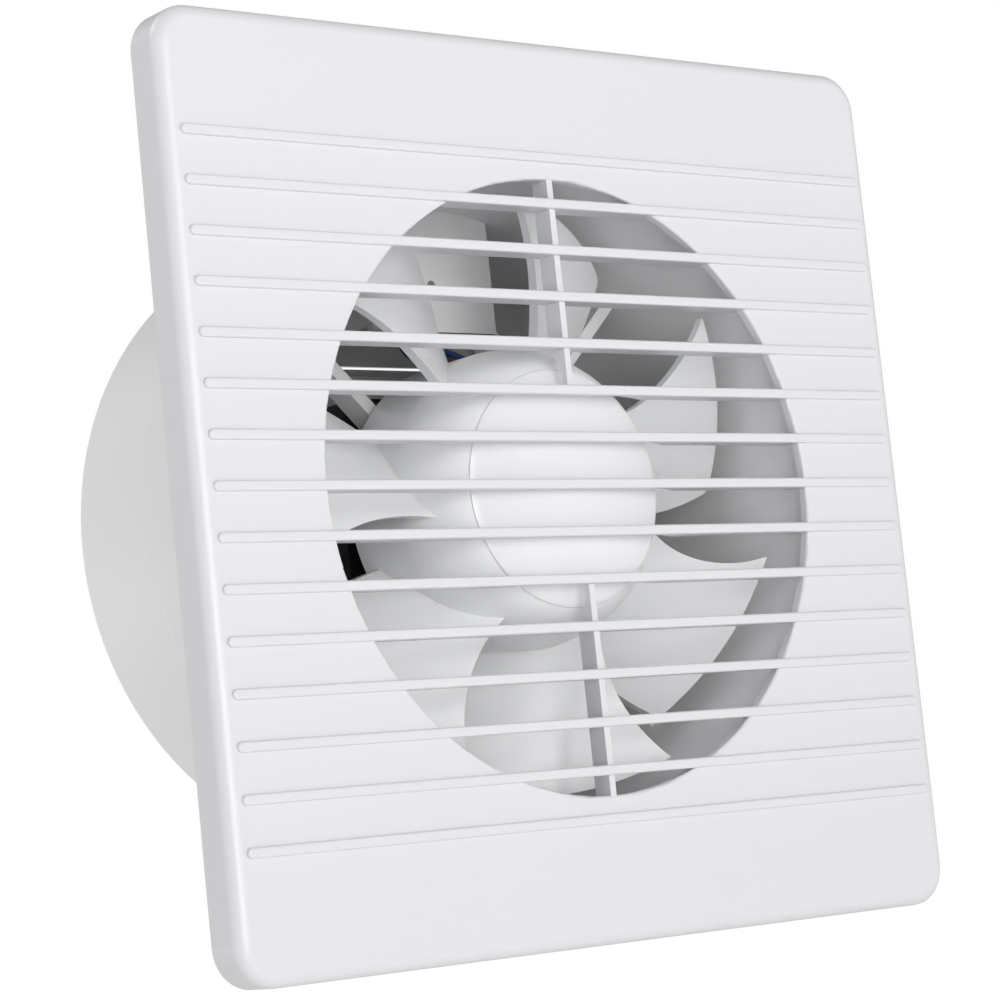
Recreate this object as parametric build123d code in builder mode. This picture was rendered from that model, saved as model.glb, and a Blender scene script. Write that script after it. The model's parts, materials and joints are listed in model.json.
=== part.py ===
"""Wall-mounted axial extractor fan for a nominal 150 mm round duct.

Frame: +Z up, the room on the -Y side, the duct running along +Y.  The origin is on the duct axis in the
plane of the wall, which is the back face of the mounting plate.  Every depth below is a Y value.
"""
from build123d import *
from math import asin, cos, degrees, hypot, radians, sin, sqrt, tan
import os

# ---------------------------------------------------------------- driving dimensions, mm
# Clearances
RUNNING_GAP = 0.05  # radial, shaft in bearing and pin in pivot hole
SLIDING_GAP = 0.15  # radial, grille peg in its socket
COVER_GAP = 0.4  # grille rim to mounting plate
ROTOR_GAP = 0.35  # rotor to stator bore
SCREW_GAP = 0.2  # radial, screw shank in a clearance hole
WELD = 0.5  # how far one feature runs into the next, so that they fuse
SCREW_SLOT_DEPTH = 0.9
THREAD_PILOT_DEPTH = 8.0

# Front grille
FASCIA_SIZE = 200.0
FASCIA_DEPTH = 10.0
FASCIA_WALL = 2.2
RIM_WALL = 2.0
FASCIA_CORNER = 9.0
FASCIA_EDGE = 3.0
OPENING_STEP = 3.8  # opening radius below the spigot's bore
OPENING_EDGE = 0.6
RIB_COUNT = 15
RIB_PITCH = 10.45
RIB_WIDTH = 2.2
RIB_HEIGHT = 0.9
RIB_EDGE = 0.5
RIB_END_MARGIN = 3.6
SLAT_WIDTH = 1.7
SLAT_DEPTH = 5.5
BAR_WIDTH = 1.6
BAR_DEPTH = 5.0
BAR_SETBACK = 0.3
BAR_END_R = 22.1  # the bar stops here, short of the nose cap
NOSE_RELIEF = 5.5  # slats are thinned this far beyond the nose cap
RELIEF_SLOPE = 4.0
RELIEF_GAP = 1.0
PEG_R = 2.5
PEG_INSET_X = 11.0  # from the fascia's edge
PEG_INSET_Z = 45.0
PEG_SOCKET_FLOOR_GAP = 0.4

# Housing
PLATE_THICK = 2.4
LIP_THICK = 1.8
LIP_HEIGHT = 3.4
WALL_SCREW_INSET = 18.0  # from the fascia's edge
WALL_SCREW_HOLE_R = 2.4
SPIGOT_R = 74.2
SPIGOT_WALL = 2.2
SPIGOT_LENGTH = 80.0
SPIGOT_COLLAR = 5.6
SPIGOT_LEAD_IN = 0.8
SPIGOT_STEP = 0.6  # the end that enters the duct is drawn in by this much
SPIGOT_TAPER_LENGTH = 1.6
SPIGOT_END_LENGTH = 28.0
SOCKET_WALL = 1.6
SOCKET_HEIGHT = 4.0
STRUT_COUNT = 4
STRUT_FIRST_ANGLE = 45.0
STRUT_THICK = 3.0
STRUT_DEPTH = 7.0
STRUT_INNER_R = 7.0
SEAT_R = 18.4
SEAT_THICK = 3.0
TERMINAL_PLATE_WIDTH = 36.0
TERMINAL_PLATE_THICK = 2.4

# Impeller and nose cap
BLADE_COUNT = 7
BLADE_FIRST_ANGLE = 37.4  # of a blade's leading tip
BLADE_SPAN_ANGLE = 38.0
BLADE_FRONT_Y = 3.8
BLADE_REAR_Y = 26.4
BLADE_CAMBER = 2.4
BLADE_ROOT_THICK = 3.4
BLADE_TIP_THICK = 1.9
BLADE_LEAD_FILLET = 2.2
BLADE_TRAIL_FILLET = 9.0
BLADE_LEAD_SWEEP = 4.5  # degrees the leading edge is hollowed
BLADE_TRAIL_SWEEP = 1.5
BLADE_TRAIL_TUCK = 3.0
BLADE_OVERRUN = 3.0  # the section runs past the outline that trims it
BLADE_TIP_GAP = 5.2  # blade tip to spigot bore
HUB_FRONT_R = 26.6
HUB_R = 34.0
CAP_TO_FACE = 2.8  # nose cap behind the fascia's face
HUB_FLARE_Y = 12.0
HUB_BELLY = 4.8  # the flare's bulge halfway along
HUB_BELLY_LEAD = 1.5
HUB_REAR_Y = 30.0
HUB_WALL = 2.0
HUB_WEB_Y = 9.0
HUB_WEB_THICK = 2.4
HUB_BOSS_R = 7.5
HUB_BOSS_LENGTH = 14.0
CAP_RISE = 3.3
CAP_THICK = 1.6
CAP_LIP = 4.0
CAP_SEAM = 0.5
CAP_PLAY = 0.1
BUSH_R = 5.0

# Motor
SHAFT_R = 2.5
SHAFT_FLAT = 2.0
SHAFT_THREAD_R = 2.0
SHAFT_THREAD_LENGTH = 6.0
SHAFT_CHAMFER = 0.4
SHAFT_TAIL = 0.5  # shaft end beyond the rear bearing cup
NUT_ACROSS = 7.0
NUT_THICK = 3.2
NUT_SIDES = 6
IMPELLER_TO_SEAT = 2.0
BRACKET_THICK = 2.5
LEG_SHOULDER = 0.8
LEG_LENGTH = 4.0
LEG_R = 4.0
CORE_THICK = 16.0
CORE_HALF_HEIGHT = 28.0
CORE_LEFT = 27.0
CORE_CHAMFER = 6.0
CORE_LIMB = 12.0
WINDOW_LEFT = 20.0
WINDOW_WIDTH = 12.0
WINDOW_HALF_HEIGHT = 16.0
ROTOR_R = 13.0
END_RING_R = 12.2
END_RING_BORE = 7.0
END_RING_THICK = 2.4
WASHER_THICK = 0.5
WASHER_TO_CORE = 1.2
WASHER_WIDTH = 2.0
SPACER_WALL = 1.2
BOLT_OFFSET = 22.0
BOLT_R = 1.7
BOLT_HEAD_R = 3.2
BOLT_HEAD_THICK = 2.2
BOLT_RECESS_WIDTH = 0.8
BOLT_RECESS_SPAN = 4.4
BOLT_RECESS_DEPTH = 1.2
BOLT_TAIL = 1.0
MOTOR_NUT_ACROSS = 5.8
MOTOR_NUT_THICK = 2.0
MOUNT_HEAD_R = 2.8
MOUNT_HEAD_THICK = 1.4
MOUNT_SCREW_OFFSET = 15.0
MOUNT_SCREW_R = 1.5
CUP_LENGTH = 9.5
CUP_R = 9.5
CUP_FLOOR = 3.0
BRACKET_HALF_WIDTH = 8.0
EAR_MARGIN = 3.5
EAR_WIDTH = 8.0
SHAFT_CLEARANCE = 0.7
BEARING_SEAT = 2.0
RETAINER_MARGIN = 1.0
FELT_R = 8.0
BEARING_R = 5.0
BEARING_LENGTH = 7.0
RETAINER_THICK = 0.6
BOBBIN_WALL = 1.2
BOBBIN_FLANGE = 1.5
COIL_BUILD = 7.0
COIL_CORNER = 3.0
BOBBIN_CORNER = 2.0
BOBBIN_END_GAP = 0.5
TAPE_THICK = 0.5
SHADING_BAR = 2.0
SHADING_REACH = 8.5
SHADING_TO_BORE = 1.4
SHADING_SPAN = 5.0
SHADING_SHIFT = 5.0  # sideways from the pole's middle
SHADING_PLAY = 0.2

# Terminal box and leads
BLOCK_WIDTH = 22.0
BLOCK_HEIGHT = 14.0
BLOCK_DEPTH = 11.0
BLOCK_TO_SPIGOT = 11.0  # block to the top of the spigot's bore
BLOCK_TO_PLATE_EDGE = 18.0  # block's top to the plate's lower edge
POLE_PITCH = 10.0
TUBE_R = 2.6
TUBE_BORE_R = 1.7
TERMINAL_SCREW_R = 1.2
TERMINAL_HEAD_R = 1.9
TERMINAL_HEAD_THICK = 2.0
TERMINAL_HEAD_LIFT = 0.6
TERMINAL_SLOT_WIDTH = 0.6
TERMINAL_WELL_R = 2.0
TERMINAL_SCREW_OFFSET = 4.2
TUBE_SHIFT = 1.0
TUBE_INSET = 0.5
BLOCK_CORNER = 1.2
BLOCK_SCREW_HEAD_THICK = 1.2
COVER_SCREW_HEAD_R = 2.3
COVER_SCREW_HEAD_THICK = 1.5
COVER_RIM_GAP = 0.5
COVER_SIDE_INSET = 1.0
COVER_POST_X = 12.0
COVER_POST_RISE = 4.0
COVER_POST_R = 2.8
TERMINAL_PLATE_SETBACK = 4.0
COVER_WALL = 1.4
COVER_DEPTH = 14.0
COVER_INSET = 1.5  # cover edge inside the plate's lower edge
LEAD_R = 1.1
LEAD_BEND_R = 7.0
LEAD_NOTCH_GAP = 0.4
LEAD_BENDS = (LEAD_BEND_R, 5.0, 4.0)
LEAD_REACH = 14.0  # sideways from the pole, where the lead comes over the core
LEAD_LIFT = 3.0
LEAD_SETBACK = 4.0  # behind the tubes
LEAD_DROP = 9.0  # where it turns up towards the tube, below the block
LEAD_ENTRY = 3.0  # length inside the block
LIVE_RISE = 34.0
NEUTRAL_RISE = 38.0
LIVE_SHIFT = -4.0  # from the limb's middle, along the coil's upper flange
NEUTRAL_SHIFT = 2.0
GROMMET_BORE_R = 3.2
GROMMET_NECK_R = 4.6
GROMMET_FLANGE_R = 5.6
GROMMET_FLANGE_THICK = 1.2
GROMMET_CURVE_ROOM = 0.3  # the inner flange reaches past the bore's curve
GROMMET_TO_PLATE = 6.2  # centre, behind the terminal plate's back face

# Backdraught shutter
FLAP_COUNT = 6
FLAP_TOP_MARGIN = 5.0  # top hinge line below the frame's bore
FLAP_BOTTOM_MARGIN = 4.4
FLAP_THICK = 1.2
FLAP_GAP = 0.8
FLAP_PIN_R = 1.0
FLAP_RIM_GAP = 0.7
FLAP_RISE = 0.85  # of the flap's top edge above its hinge line
FLAP_SWING_ROOM = 2.4  # how far the outline is lowered so that an open flap clears the frame
SHUTTER_DEPTH = 5.6
SHUTTER_GAP = 0.3
SHUTTER_RING_WALL = 5.2
SHUTTER_LEDGE = 4.0
SHUTTER_LEDGE_THICK = 1.6
SHUTTER_INSET = 0.4  # behind the spigot's rim
PIN_REACH = 2.5  # pin length in the frame
PIN_END_PLAY = 0.3
PIN_TO_LEDGE = 0.1
SHUTTER_HEAD_R = 2.5
SHUTTER_HEAD_THICK = 1.6
SHUTTER_HEAD_RECESS = 2.0
SHUTTER_LUG_R = 4.2
SHUTTER_SCREW_R = 1.4
SHUTTER_SCREW_DROP = 6.35  # the side screws sit this far below the second hinge line
SHUTTER_POST_LENGTH = 12.0

# ---------------------------------------------------------------- positions that follow from them
FACE_Y = -FASCIA_DEPTH
FACE_BACK_Y = FACE_Y + FASCIA_WALL
RIB_FRONT_Y = FACE_Y - RIB_HEIGHT
SPIGOT_BORE_R = SPIGOT_R - SPIGOT_WALL
SPIGOT_END_R = SPIGOT_R - SPIGOT_STEP
SPIGOT_STEP_Y = SPIGOT_LENGTH - SPIGOT_END_LENGTH
SPIGOT_TAPER_Y = SPIGOT_STEP_Y - SPIGOT_TAPER_LENGTH
OPENING_R = SPIGOT_BORE_R - OPENING_STEP
BLADE_TIP_R = SPIGOT_BORE_R - BLADE_TIP_GAP
WALL_SCREW_SPACING = FASCIA_SIZE - 2 * WALL_SCREW_INSET
PEG_OFFSET_X = FASCIA_SIZE / 2 - PEG_INSET_X
PEG_OFFSET_Z = FASCIA_SIZE / 2 - PEG_INSET_Z
PLATE_SIZE = FASCIA_SIZE - 2 * RIM_WALL - 2 * COVER_GAP
PLATE_CORNER = FASCIA_CORNER - RIM_WALL - COVER_GAP

CAP_R = HUB_FRONT_R
CAP_FRONT_Y = FACE_Y + CAP_TO_FACE
HUB_FRONT_Y = CAP_FRONT_Y + CAP_RISE
HUB_BELLY_Y = (HUB_FRONT_Y + HUB_FLARE_Y) / 2 - HUB_BELLY_LEAD
RELIEF_R = CAP_R + NOSE_RELIEF
RELIEF_Y = CAP_FRONT_Y - RELIEF_GAP

SEAT_Y = HUB_REAR_Y + IMPELLER_TO_SEAT
SEAT_BACK_Y = SEAT_Y + SEAT_THICK
CORE_Y = SEAT_BACK_Y + BRACKET_THICK + LEG_LENGTH
CORE_BACK_Y = CORE_Y + CORE_THICK
REAR_PLATE_Y = CORE_BACK_Y + LEG_LENGTH
REAR_CUP_END_Y = REAR_PLATE_Y + CUP_LENGTH
SHAFT_FRONT_Y = HUB_WEB_Y - SHAFT_THREAD_LENGTH
SHAFT_REAR_Y = REAR_CUP_END_Y + SHAFT_TAIL
CORE_BORE_R = ROTOR_R + ROTOR_GAP
LIMB_X = WINDOW_LEFT + WINDOW_WIDTH
CORE_RIGHT = LIMB_X + CORE_LIMB

TERMINAL_PLATE_Y = SEAT_Y + TERMINAL_PLATE_SETBACK
BLOCK_Y = TERMINAL_PLATE_Y + TERMINAL_PLATE_THICK
BLOCK_TOP = SPIGOT_BORE_R - BLOCK_TO_SPIGOT
BLOCK_CENTRE_Z = BLOCK_TOP - BLOCK_HEIGHT / 2
TERMINAL_PLATE_BOTTOM = BLOCK_TOP - BLOCK_TO_PLATE_EDGE
COVER_BOTTOM = TERMINAL_PLATE_BOTTOM + COVER_INSET
GROMMET_Y = BLOCK_Y + GROMMET_TO_PLATE
COVER_END_Y = BLOCK_Y + COVER_DEPTH
COVER_POST_Z = BLOCK_TOP + COVER_POST_RISE

SHUTTER_END_Y = SPIGOT_LENGTH - SHUTTER_INSET
SHUTTER_Y = SHUTTER_END_Y - SHUTTER_DEPTH
SHUTTER_R = SPIGOT_BORE_R - SHUTTER_GAP
SHUTTER_INNER_R = SHUTTER_R - SHUTTER_RING_WALL
LEDGE_R = SHUTTER_INNER_R - SHUTTER_LEDGE
FLAP_Y = SHUTTER_Y + SHUTTER_LEDGE_THICK + FLAP_PIN_R + PIN_TO_LEDGE
FLAP_R = SHUTTER_INNER_R - FLAP_RIM_GAP
FLAP_TOP_Z = SHUTTER_INNER_R - FLAP_TOP_MARGIN
FLAP_PITCH = (FLAP_TOP_Z + SHUTTER_INNER_R - FLAP_BOTTOM_MARGIN) / FLAP_COUNT
LUG_CENTRE_R = SHUTTER_R - SHUTTER_RING_WALL / 2

HINGE_LINES = [FLAP_TOP_Z - number * FLAP_PITCH for number in range(FLAP_COUNT)]
SIDE_SCREW_ANGLE = degrees(asin((HINGE_LINES[1] - SHUTTER_SCREW_DROP) / LUG_CENTRE_R))
SHUTTER_SCREW_ANGLES = (SIDE_SCREW_ANGLE, 180 - SIDE_SCREW_ANGLE, 270)


def facing_room(depth):
    """The X-Z plane at a depth, facing the room: its normal is -Y, so extruding by a negative
    amount goes into the wall."""
    return Plane.XZ.offset(-depth)


def polar(radius, angle):
    """An X-Z point given by its radius from the duct axis and its angle from +X towards +Z."""
    return (radius * cos(radians(angle)), radius * sin(radians(angle)))


def save(name, part):
    part.label = name
    export_step(part, f"parts/{name}.step")


os.makedirs("parts", exist_ok=True)

# ---------------------------------------------------------------- front grille
RIB_LENGTH = FASCIA_SIZE - 2 * RIB_END_MARGIN
RIB_TOP_Z = RIB_PITCH * (RIB_COUNT - 1) / 2
PEG_PLACES = [(x, z) for x in (-PEG_OFFSET_X, PEG_OFFSET_X) for z in (-PEG_OFFSET_Z, PEG_OFFSET_Z)]
PEG_END_Y = -PLATE_THICK - PEG_SOCKET_FLOOR_GAP

with BuildPart() as rib:
    with BuildSketch(facing_room(FACE_Y + WELD)):
        SlotOverall(RIB_LENGTH, RIB_WIDTH)
    extrude(amount=RIB_HEIGHT + WELD)
    fillet(rib.faces().sort_by(Axis.Y)[0].edges(), radius=RIB_EDGE)

with BuildPart() as slat_block:
    with BuildSketch(facing_room(FACE_Y)):
        with GridLocations(0, RIB_PITCH, 1, RIB_COUNT):
            Rectangle(2 * OPENING_R + 2, SLAT_WIDTH)
        Circle(OPENING_R + WELD, mode=Mode.INTERSECT)
    extrude(amount=-SLAT_DEPTH)
    with BuildSketch(facing_room(FACE_Y + BAR_SETBACK)):
        Rectangle(BAR_WIDTH, 2 * OPENING_R + 2)
        Circle(OPENING_R + WELD, mode=Mode.INTERSECT)
        Rectangle(2 * BAR_WIDTH, 2 * BAR_END_R, mode=Mode.SUBTRACT)
    extrude(amount=-BAR_DEPTH)
    # clearance for the nose cap: a flat-bottomed pocket with a sloping wall
    with BuildSketch(Plane.XY):
        with BuildLine():
            Polyline((0, RELIEF_Y), (CAP_R - BAR_WIDTH, RELIEF_Y), (RELIEF_R, RELIEF_Y + RELIEF_SLOPE),
                     (RELIEF_R, 0), (0, 0), close=True)
        make_face()
    revolve(axis=Axis.Y, mode=Mode.SUBTRACT)

with BuildPart() as front_grille:
    with BuildSketch(facing_room(0)):
        RectangleRounded(FASCIA_SIZE, FASCIA_SIZE, FASCIA_CORNER)
    extrude(amount=FASCIA_DEPTH)
    fillet(front_grille.faces().sort_by(Axis.Y)[0].edges(), radius=FASCIA_EDGE)
    with BuildSketch(facing_room(0)):
        RectangleRounded(FASCIA_SIZE - 2 * RIM_WALL, FASCIA_SIZE - 2 * RIM_WALL, FASCIA_CORNER - RIM_WALL)
    extrude(amount=FASCIA_DEPTH - FASCIA_WALL, mode=Mode.SUBTRACT)
    with BuildSketch(facing_room(0)):
        Circle(OPENING_R)
    extrude(amount=FASCIA_DEPTH, mode=Mode.SUBTRACT)
    fillet(front_grille.edges().filter_by(GeomType.CIRCLE).filter_by(
        lambda edge: abs(edge.radius - OPENING_R) < 0.01).sort_by(Axis.Y)[0], radius=OPENING_EDGE)
    with BuildSketch(facing_room(FACE_BACK_Y - WELD)):
        with Locations(*PEG_PLACES):
            Circle(PEG_R)
    extrude(amount=-(PEG_END_Y - FACE_BACK_Y + WELD))
    for row in range(RIB_COUNT):
        add(rib.part.translate((0, 0, RIB_TOP_Z - row * RIB_PITCH)))
    with BuildSketch(facing_room(RIB_FRONT_Y - 1)):
        Circle(OPENING_R)
        with GridLocations(0, RIB_PITCH, 1, RIB_COUNT):
            Rectangle(2 * OPENING_R + 2, RIB_WIDTH + 0.02, mode=Mode.SUBTRACT)
    extrude(amount=-(FASCIA_DEPTH), mode=Mode.SUBTRACT)
    add(slat_block.part)
save("front_grille", front_grille.part)

# ---------------------------------------------------------------- housing
SOCKET_R = PEG_R + SLIDING_GAP + SOCKET_WALL
GROMMET_Z = SPIGOT_R - SPIGOT_WALL / 2

with BuildPart() as housing:
    # mounting plate with its raised lip
    with BuildSketch(facing_room(0)):
        RectangleRounded(PLATE_SIZE, PLATE_SIZE, PLATE_CORNER)
    extrude(amount=PLATE_THICK)
    with BuildSketch(facing_room(-PLATE_THICK)):
        RectangleRounded(PLATE_SIZE, PLATE_SIZE, PLATE_CORNER)
        offset(amount=-LIP_THICK, mode=Mode.SUBTRACT)
    extrude(amount=LIP_HEIGHT)
    # peg sockets
    with BuildSketch(facing_room(-PLATE_THICK)):
        with Locations(*PEG_PLACES):
            Circle(SOCKET_R)
    extrude(amount=SOCKET_HEIGHT)
    with BuildSketch(facing_room(-PLATE_THICK)):
        with Locations(*PEG_PLACES):
            Circle(PEG_R + SLIDING_GAP)
    extrude(amount=SOCKET_HEIGHT, mode=Mode.SUBTRACT)
    # duct spigot
    with BuildSketch(facing_room(-SPIGOT_COLLAR)):
        Circle(SPIGOT_R)
    extrude(amount=-(SPIGOT_COLLAR + SPIGOT_TAPER_Y))
    with BuildSketch(Plane.XY):
        with BuildLine():
            Polyline((0, SPIGOT_TAPER_Y), (SPIGOT_R, SPIGOT_TAPER_Y), (SPIGOT_END_R, SPIGOT_STEP_Y),
                     (0, SPIGOT_STEP_Y), close=True)
        make_face()
    revolve(axis=Axis.Y)
    with BuildSketch(facing_room(SPIGOT_STEP_Y)):
        Circle(SPIGOT_END_R)
    extrude(amount=-SPIGOT_END_LENGTH)
    chamfer(housing.faces().sort_by(Axis.Y)[-1].edges(), length=SPIGOT_LEAD_IN)
    with BuildSketch(facing_room(-SPIGOT_COLLAR)):
        Circle(SPIGOT_BORE_R)
    extrude(amount=-(SPIGOT_COLLAR + SPIGOT_LENGTH), mode=Mode.SUBTRACT)
    # wall screw holes
    with BuildSketch(facing_room(0)):
        with GridLocations(WALL_SCREW_SPACING, WALL_SCREW_SPACING, 2, 2):
            Circle(WALL_SCREW_HOLE_R)
    extrude(amount=PLATE_THICK, mode=Mode.SUBTRACT)
    # four struts carry the motor seat
    with BuildSketch(facing_room(SEAT_Y)):
        with PolarLocations(0, STRUT_COUNT, start_angle=STRUT_FIRST_ANGLE):
            with Locations(((STRUT_INNER_R + SPIGOT_R) / 2, 0)):
                Rectangle(SPIGOT_R - STRUT_INNER_R, STRUT_THICK)
        Circle(SPIGOT_R - SPIGOT_WALL / 2, mode=Mode.INTERSECT)
    extrude(amount=-STRUT_DEPTH)
    with BuildSketch(facing_room(SEAT_Y)):
        Circle(SEAT_R)
    extrude(amount=-STRUT_DEPTH)
    with BuildSketch(facing_room(SEAT_BACK_Y)):
        Circle(SEAT_R)
    extrude(amount=-STRUT_DEPTH, mode=Mode.SUBTRACT)
    with BuildSketch(facing_room(SEAT_Y)):
        Circle(CUP_R + COVER_GAP)
        with Locations((-MOUNT_SCREW_OFFSET, 0), (MOUNT_SCREW_OFFSET, 0)):
            Circle(MOUNT_SCREW_R + SCREW_GAP)
    extrude(amount=-SEAT_THICK, mode=Mode.SUBTRACT)
    # terminal plate hanging from the top of the spigot
    with BuildSketch(facing_room(TERMINAL_PLATE_Y)):
        with Locations((0, TERMINAL_PLATE_BOTTOM)):
            Rectangle(TERMINAL_PLATE_WIDTH, SPIGOT_R, align=(Align.CENTER, Align.MIN))
        Circle(SPIGOT_R - SPIGOT_WALL / 2, mode=Mode.INTERSECT)
    extrude(amount=-TERMINAL_PLATE_THICK)
    with BuildSketch(facing_room(BLOCK_Y)):
        with Locations((COVER_POST_X, COVER_POST_Z)):
            Circle(COVER_POST_R)
    extrude(amount=-(COVER_DEPTH - COVER_WALL))
    with BuildSketch(facing_room(BLOCK_Y)):
        with Locations((COVER_POST_X, COVER_POST_Z)):
            Circle(TERMINAL_SCREW_R)
    extrude(amount=-(COVER_DEPTH - COVER_WALL), mode=Mode.SUBTRACT)
    with BuildSketch(facing_room(TERMINAL_PLATE_Y)):
        with Locations((0, BLOCK_CENTRE_Z)):
            Circle(TERMINAL_SCREW_R)
    extrude(amount=-TERMINAL_PLATE_THICK, mode=Mode.SUBTRACT)
    # cable entry through the top of the spigot
    with BuildSketch(Plane.XY.offset(GROMMET_Z - SPIGOT_WALL * 2)):
        with Locations((0, GROMMET_Y)):
            Circle(GROMMET_NECK_R)
    extrude(amount=SPIGOT_WALL * 4, mode=Mode.SUBTRACT)
    # posts for the shutter screws
    with BuildSketch(facing_room(SHUTTER_Y)):
        for angle in SHUTTER_SCREW_ANGLES:
            with Locations(polar(LUG_CENTRE_R, angle)):
                Circle(SHUTTER_LUG_R)
            with Locations(polar(LUG_CENTRE_R + SHUTTER_LUG_R / 2, angle)):
                Rectangle(SHUTTER_LUG_R + 1, 2 * SHUTTER_LUG_R, rotation=angle)
        Circle(SPIGOT_R - SPIGOT_WALL / 2, mode=Mode.INTERSECT)
    extrude(amount=SHUTTER_POST_LENGTH)
    with BuildSketch(facing_room(SHUTTER_Y)):
        for angle in SHUTTER_SCREW_ANGLES:
            with Locations(polar(LUG_CENTRE_R, angle)):
                Circle(SHUTTER_SCREW_R)
    extrude(amount=SHUTTER_POST_LENGTH - 2, mode=Mode.SUBTRACT)
save("housing", housing.part)

# ---------------------------------------------------------------- impeller: hub and blades
BLADE_SECTION_ANGLE = BLADE_SPAN_ANGLE / 2 + BLADE_OVERRUN
BLADE_MID_ANGLE = BLADE_FIRST_ANGLE - BLADE_SPAN_ANGLE / 2
BLADE_SLOPE = (BLADE_REAR_Y - BLADE_FRONT_Y) / BLADE_SPAN_ANGLE
BLADE_MID_Y = (BLADE_FRONT_Y + BLADE_REAR_Y) / 2 - BLADE_CAMBER


def blade_section(radius, thickness):
    """A cambered strip seen along the blade: its leading end is nearer the room."""
    reach = radius * tan(radians(BLADE_SECTION_ANGLE))
    front = BLADE_FRONT_Y - BLADE_OVERRUN * BLADE_SLOPE
    rear = BLADE_REAR_Y + BLADE_OVERRUN * BLADE_SLOPE
    half = thickness / 2
    with BuildSketch(across_radius(radius, BLADE_MID_ANGLE)) as section:
        with BuildLine():
            ThreePointArc((reach, -front + half), (0, -BLADE_MID_Y + half), (-reach, -rear + half))
            Line((-reach, -rear + half), (-reach, -rear - half))
            ThreePointArc((-reach, -rear - half), (0, -BLADE_MID_Y - half), (reach, -front - half))
            Line((reach, -front - half), (reach, -front + half))
        make_face()
    return section.sketch.face()


def across_radius(radius, angle):
    """The plane square to the radius at an angle: local x runs anticlockwise, local y to the room."""
    outward = (cos(radians(angle)), 0, sin(radians(angle)))
    sideways = (-sin(radians(angle)), 0, cos(radians(angle)))
    place = (radius * outward[0], 0, radius * outward[2])
    return Plane(origin=place, x_dir=sideways, z_dir=outward)


BLADE_ROOT_R = HUB_R - 2 * HUB_WALL
BLADE_LOFT_R = BLADE_TIP_R + BLADE_OVERRUN
BLADE_MIDDLE_R = (BLADE_ROOT_R + BLADE_TIP_R) / 2 + BLADE_OVERRUN
LEAD_ANGLE = BLADE_FIRST_ANGLE
TRAIL_ANGLE = BLADE_FIRST_ANGLE - BLADE_SPAN_ANGLE

with BuildPart() as blade:
    loft(sections=(blade_section(BLADE_ROOT_R, BLADE_ROOT_THICK), blade_section(BLADE_LOFT_R, BLADE_TIP_THICK)))
    # outline seen from the room: hollow leading edge, tip on a circle, full trailing edge
    with BuildSketch(facing_room(BLADE_FRONT_Y - HUB_R)):
        with BuildLine():
            ThreePointArc(polar(BLADE_ROOT_R, LEAD_ANGLE - 1), polar(BLADE_MIDDLE_R, LEAD_ANGLE - BLADE_LEAD_SWEEP),
                          polar(BLADE_TIP_R, LEAD_ANGLE + 0.5))
            ThreePointArc(polar(BLADE_TIP_R, LEAD_ANGLE + 0.5), polar(BLADE_TIP_R, BLADE_MID_ANGLE),
                          polar(BLADE_TIP_R, TRAIL_ANGLE + BLADE_TRAIL_TUCK))
            ThreePointArc(polar(BLADE_TIP_R, TRAIL_ANGLE + BLADE_TRAIL_TUCK), polar(BLADE_MIDDLE_R, TRAIL_ANGLE - BLADE_TRAIL_SWEEP),
                          polar(BLADE_ROOT_R, TRAIL_ANGLE))
            Line(polar(BLADE_ROOT_R, TRAIL_ANGLE), polar(BLADE_ROOT_R, LEAD_ANGLE - 1))
        outline = make_face()
        corners = outline.vertices().group_by(lambda vertex: round(hypot(vertex.X, vertex.Z)))[-1]
        lead_corner = corners.sort_by(lambda vertex: hypot(
            vertex.X - polar(BLADE_TIP_R, LEAD_ANGLE)[0], vertex.Z - polar(BLADE_TIP_R, LEAD_ANGLE)[1]))
        fillet(lead_corner[0], radius=BLADE_LEAD_FILLET)
        fillet(lead_corner[-1], radius=BLADE_TRAIL_FILLET)
    extrude(amount=-60, mode=Mode.INTERSECT)

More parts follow.
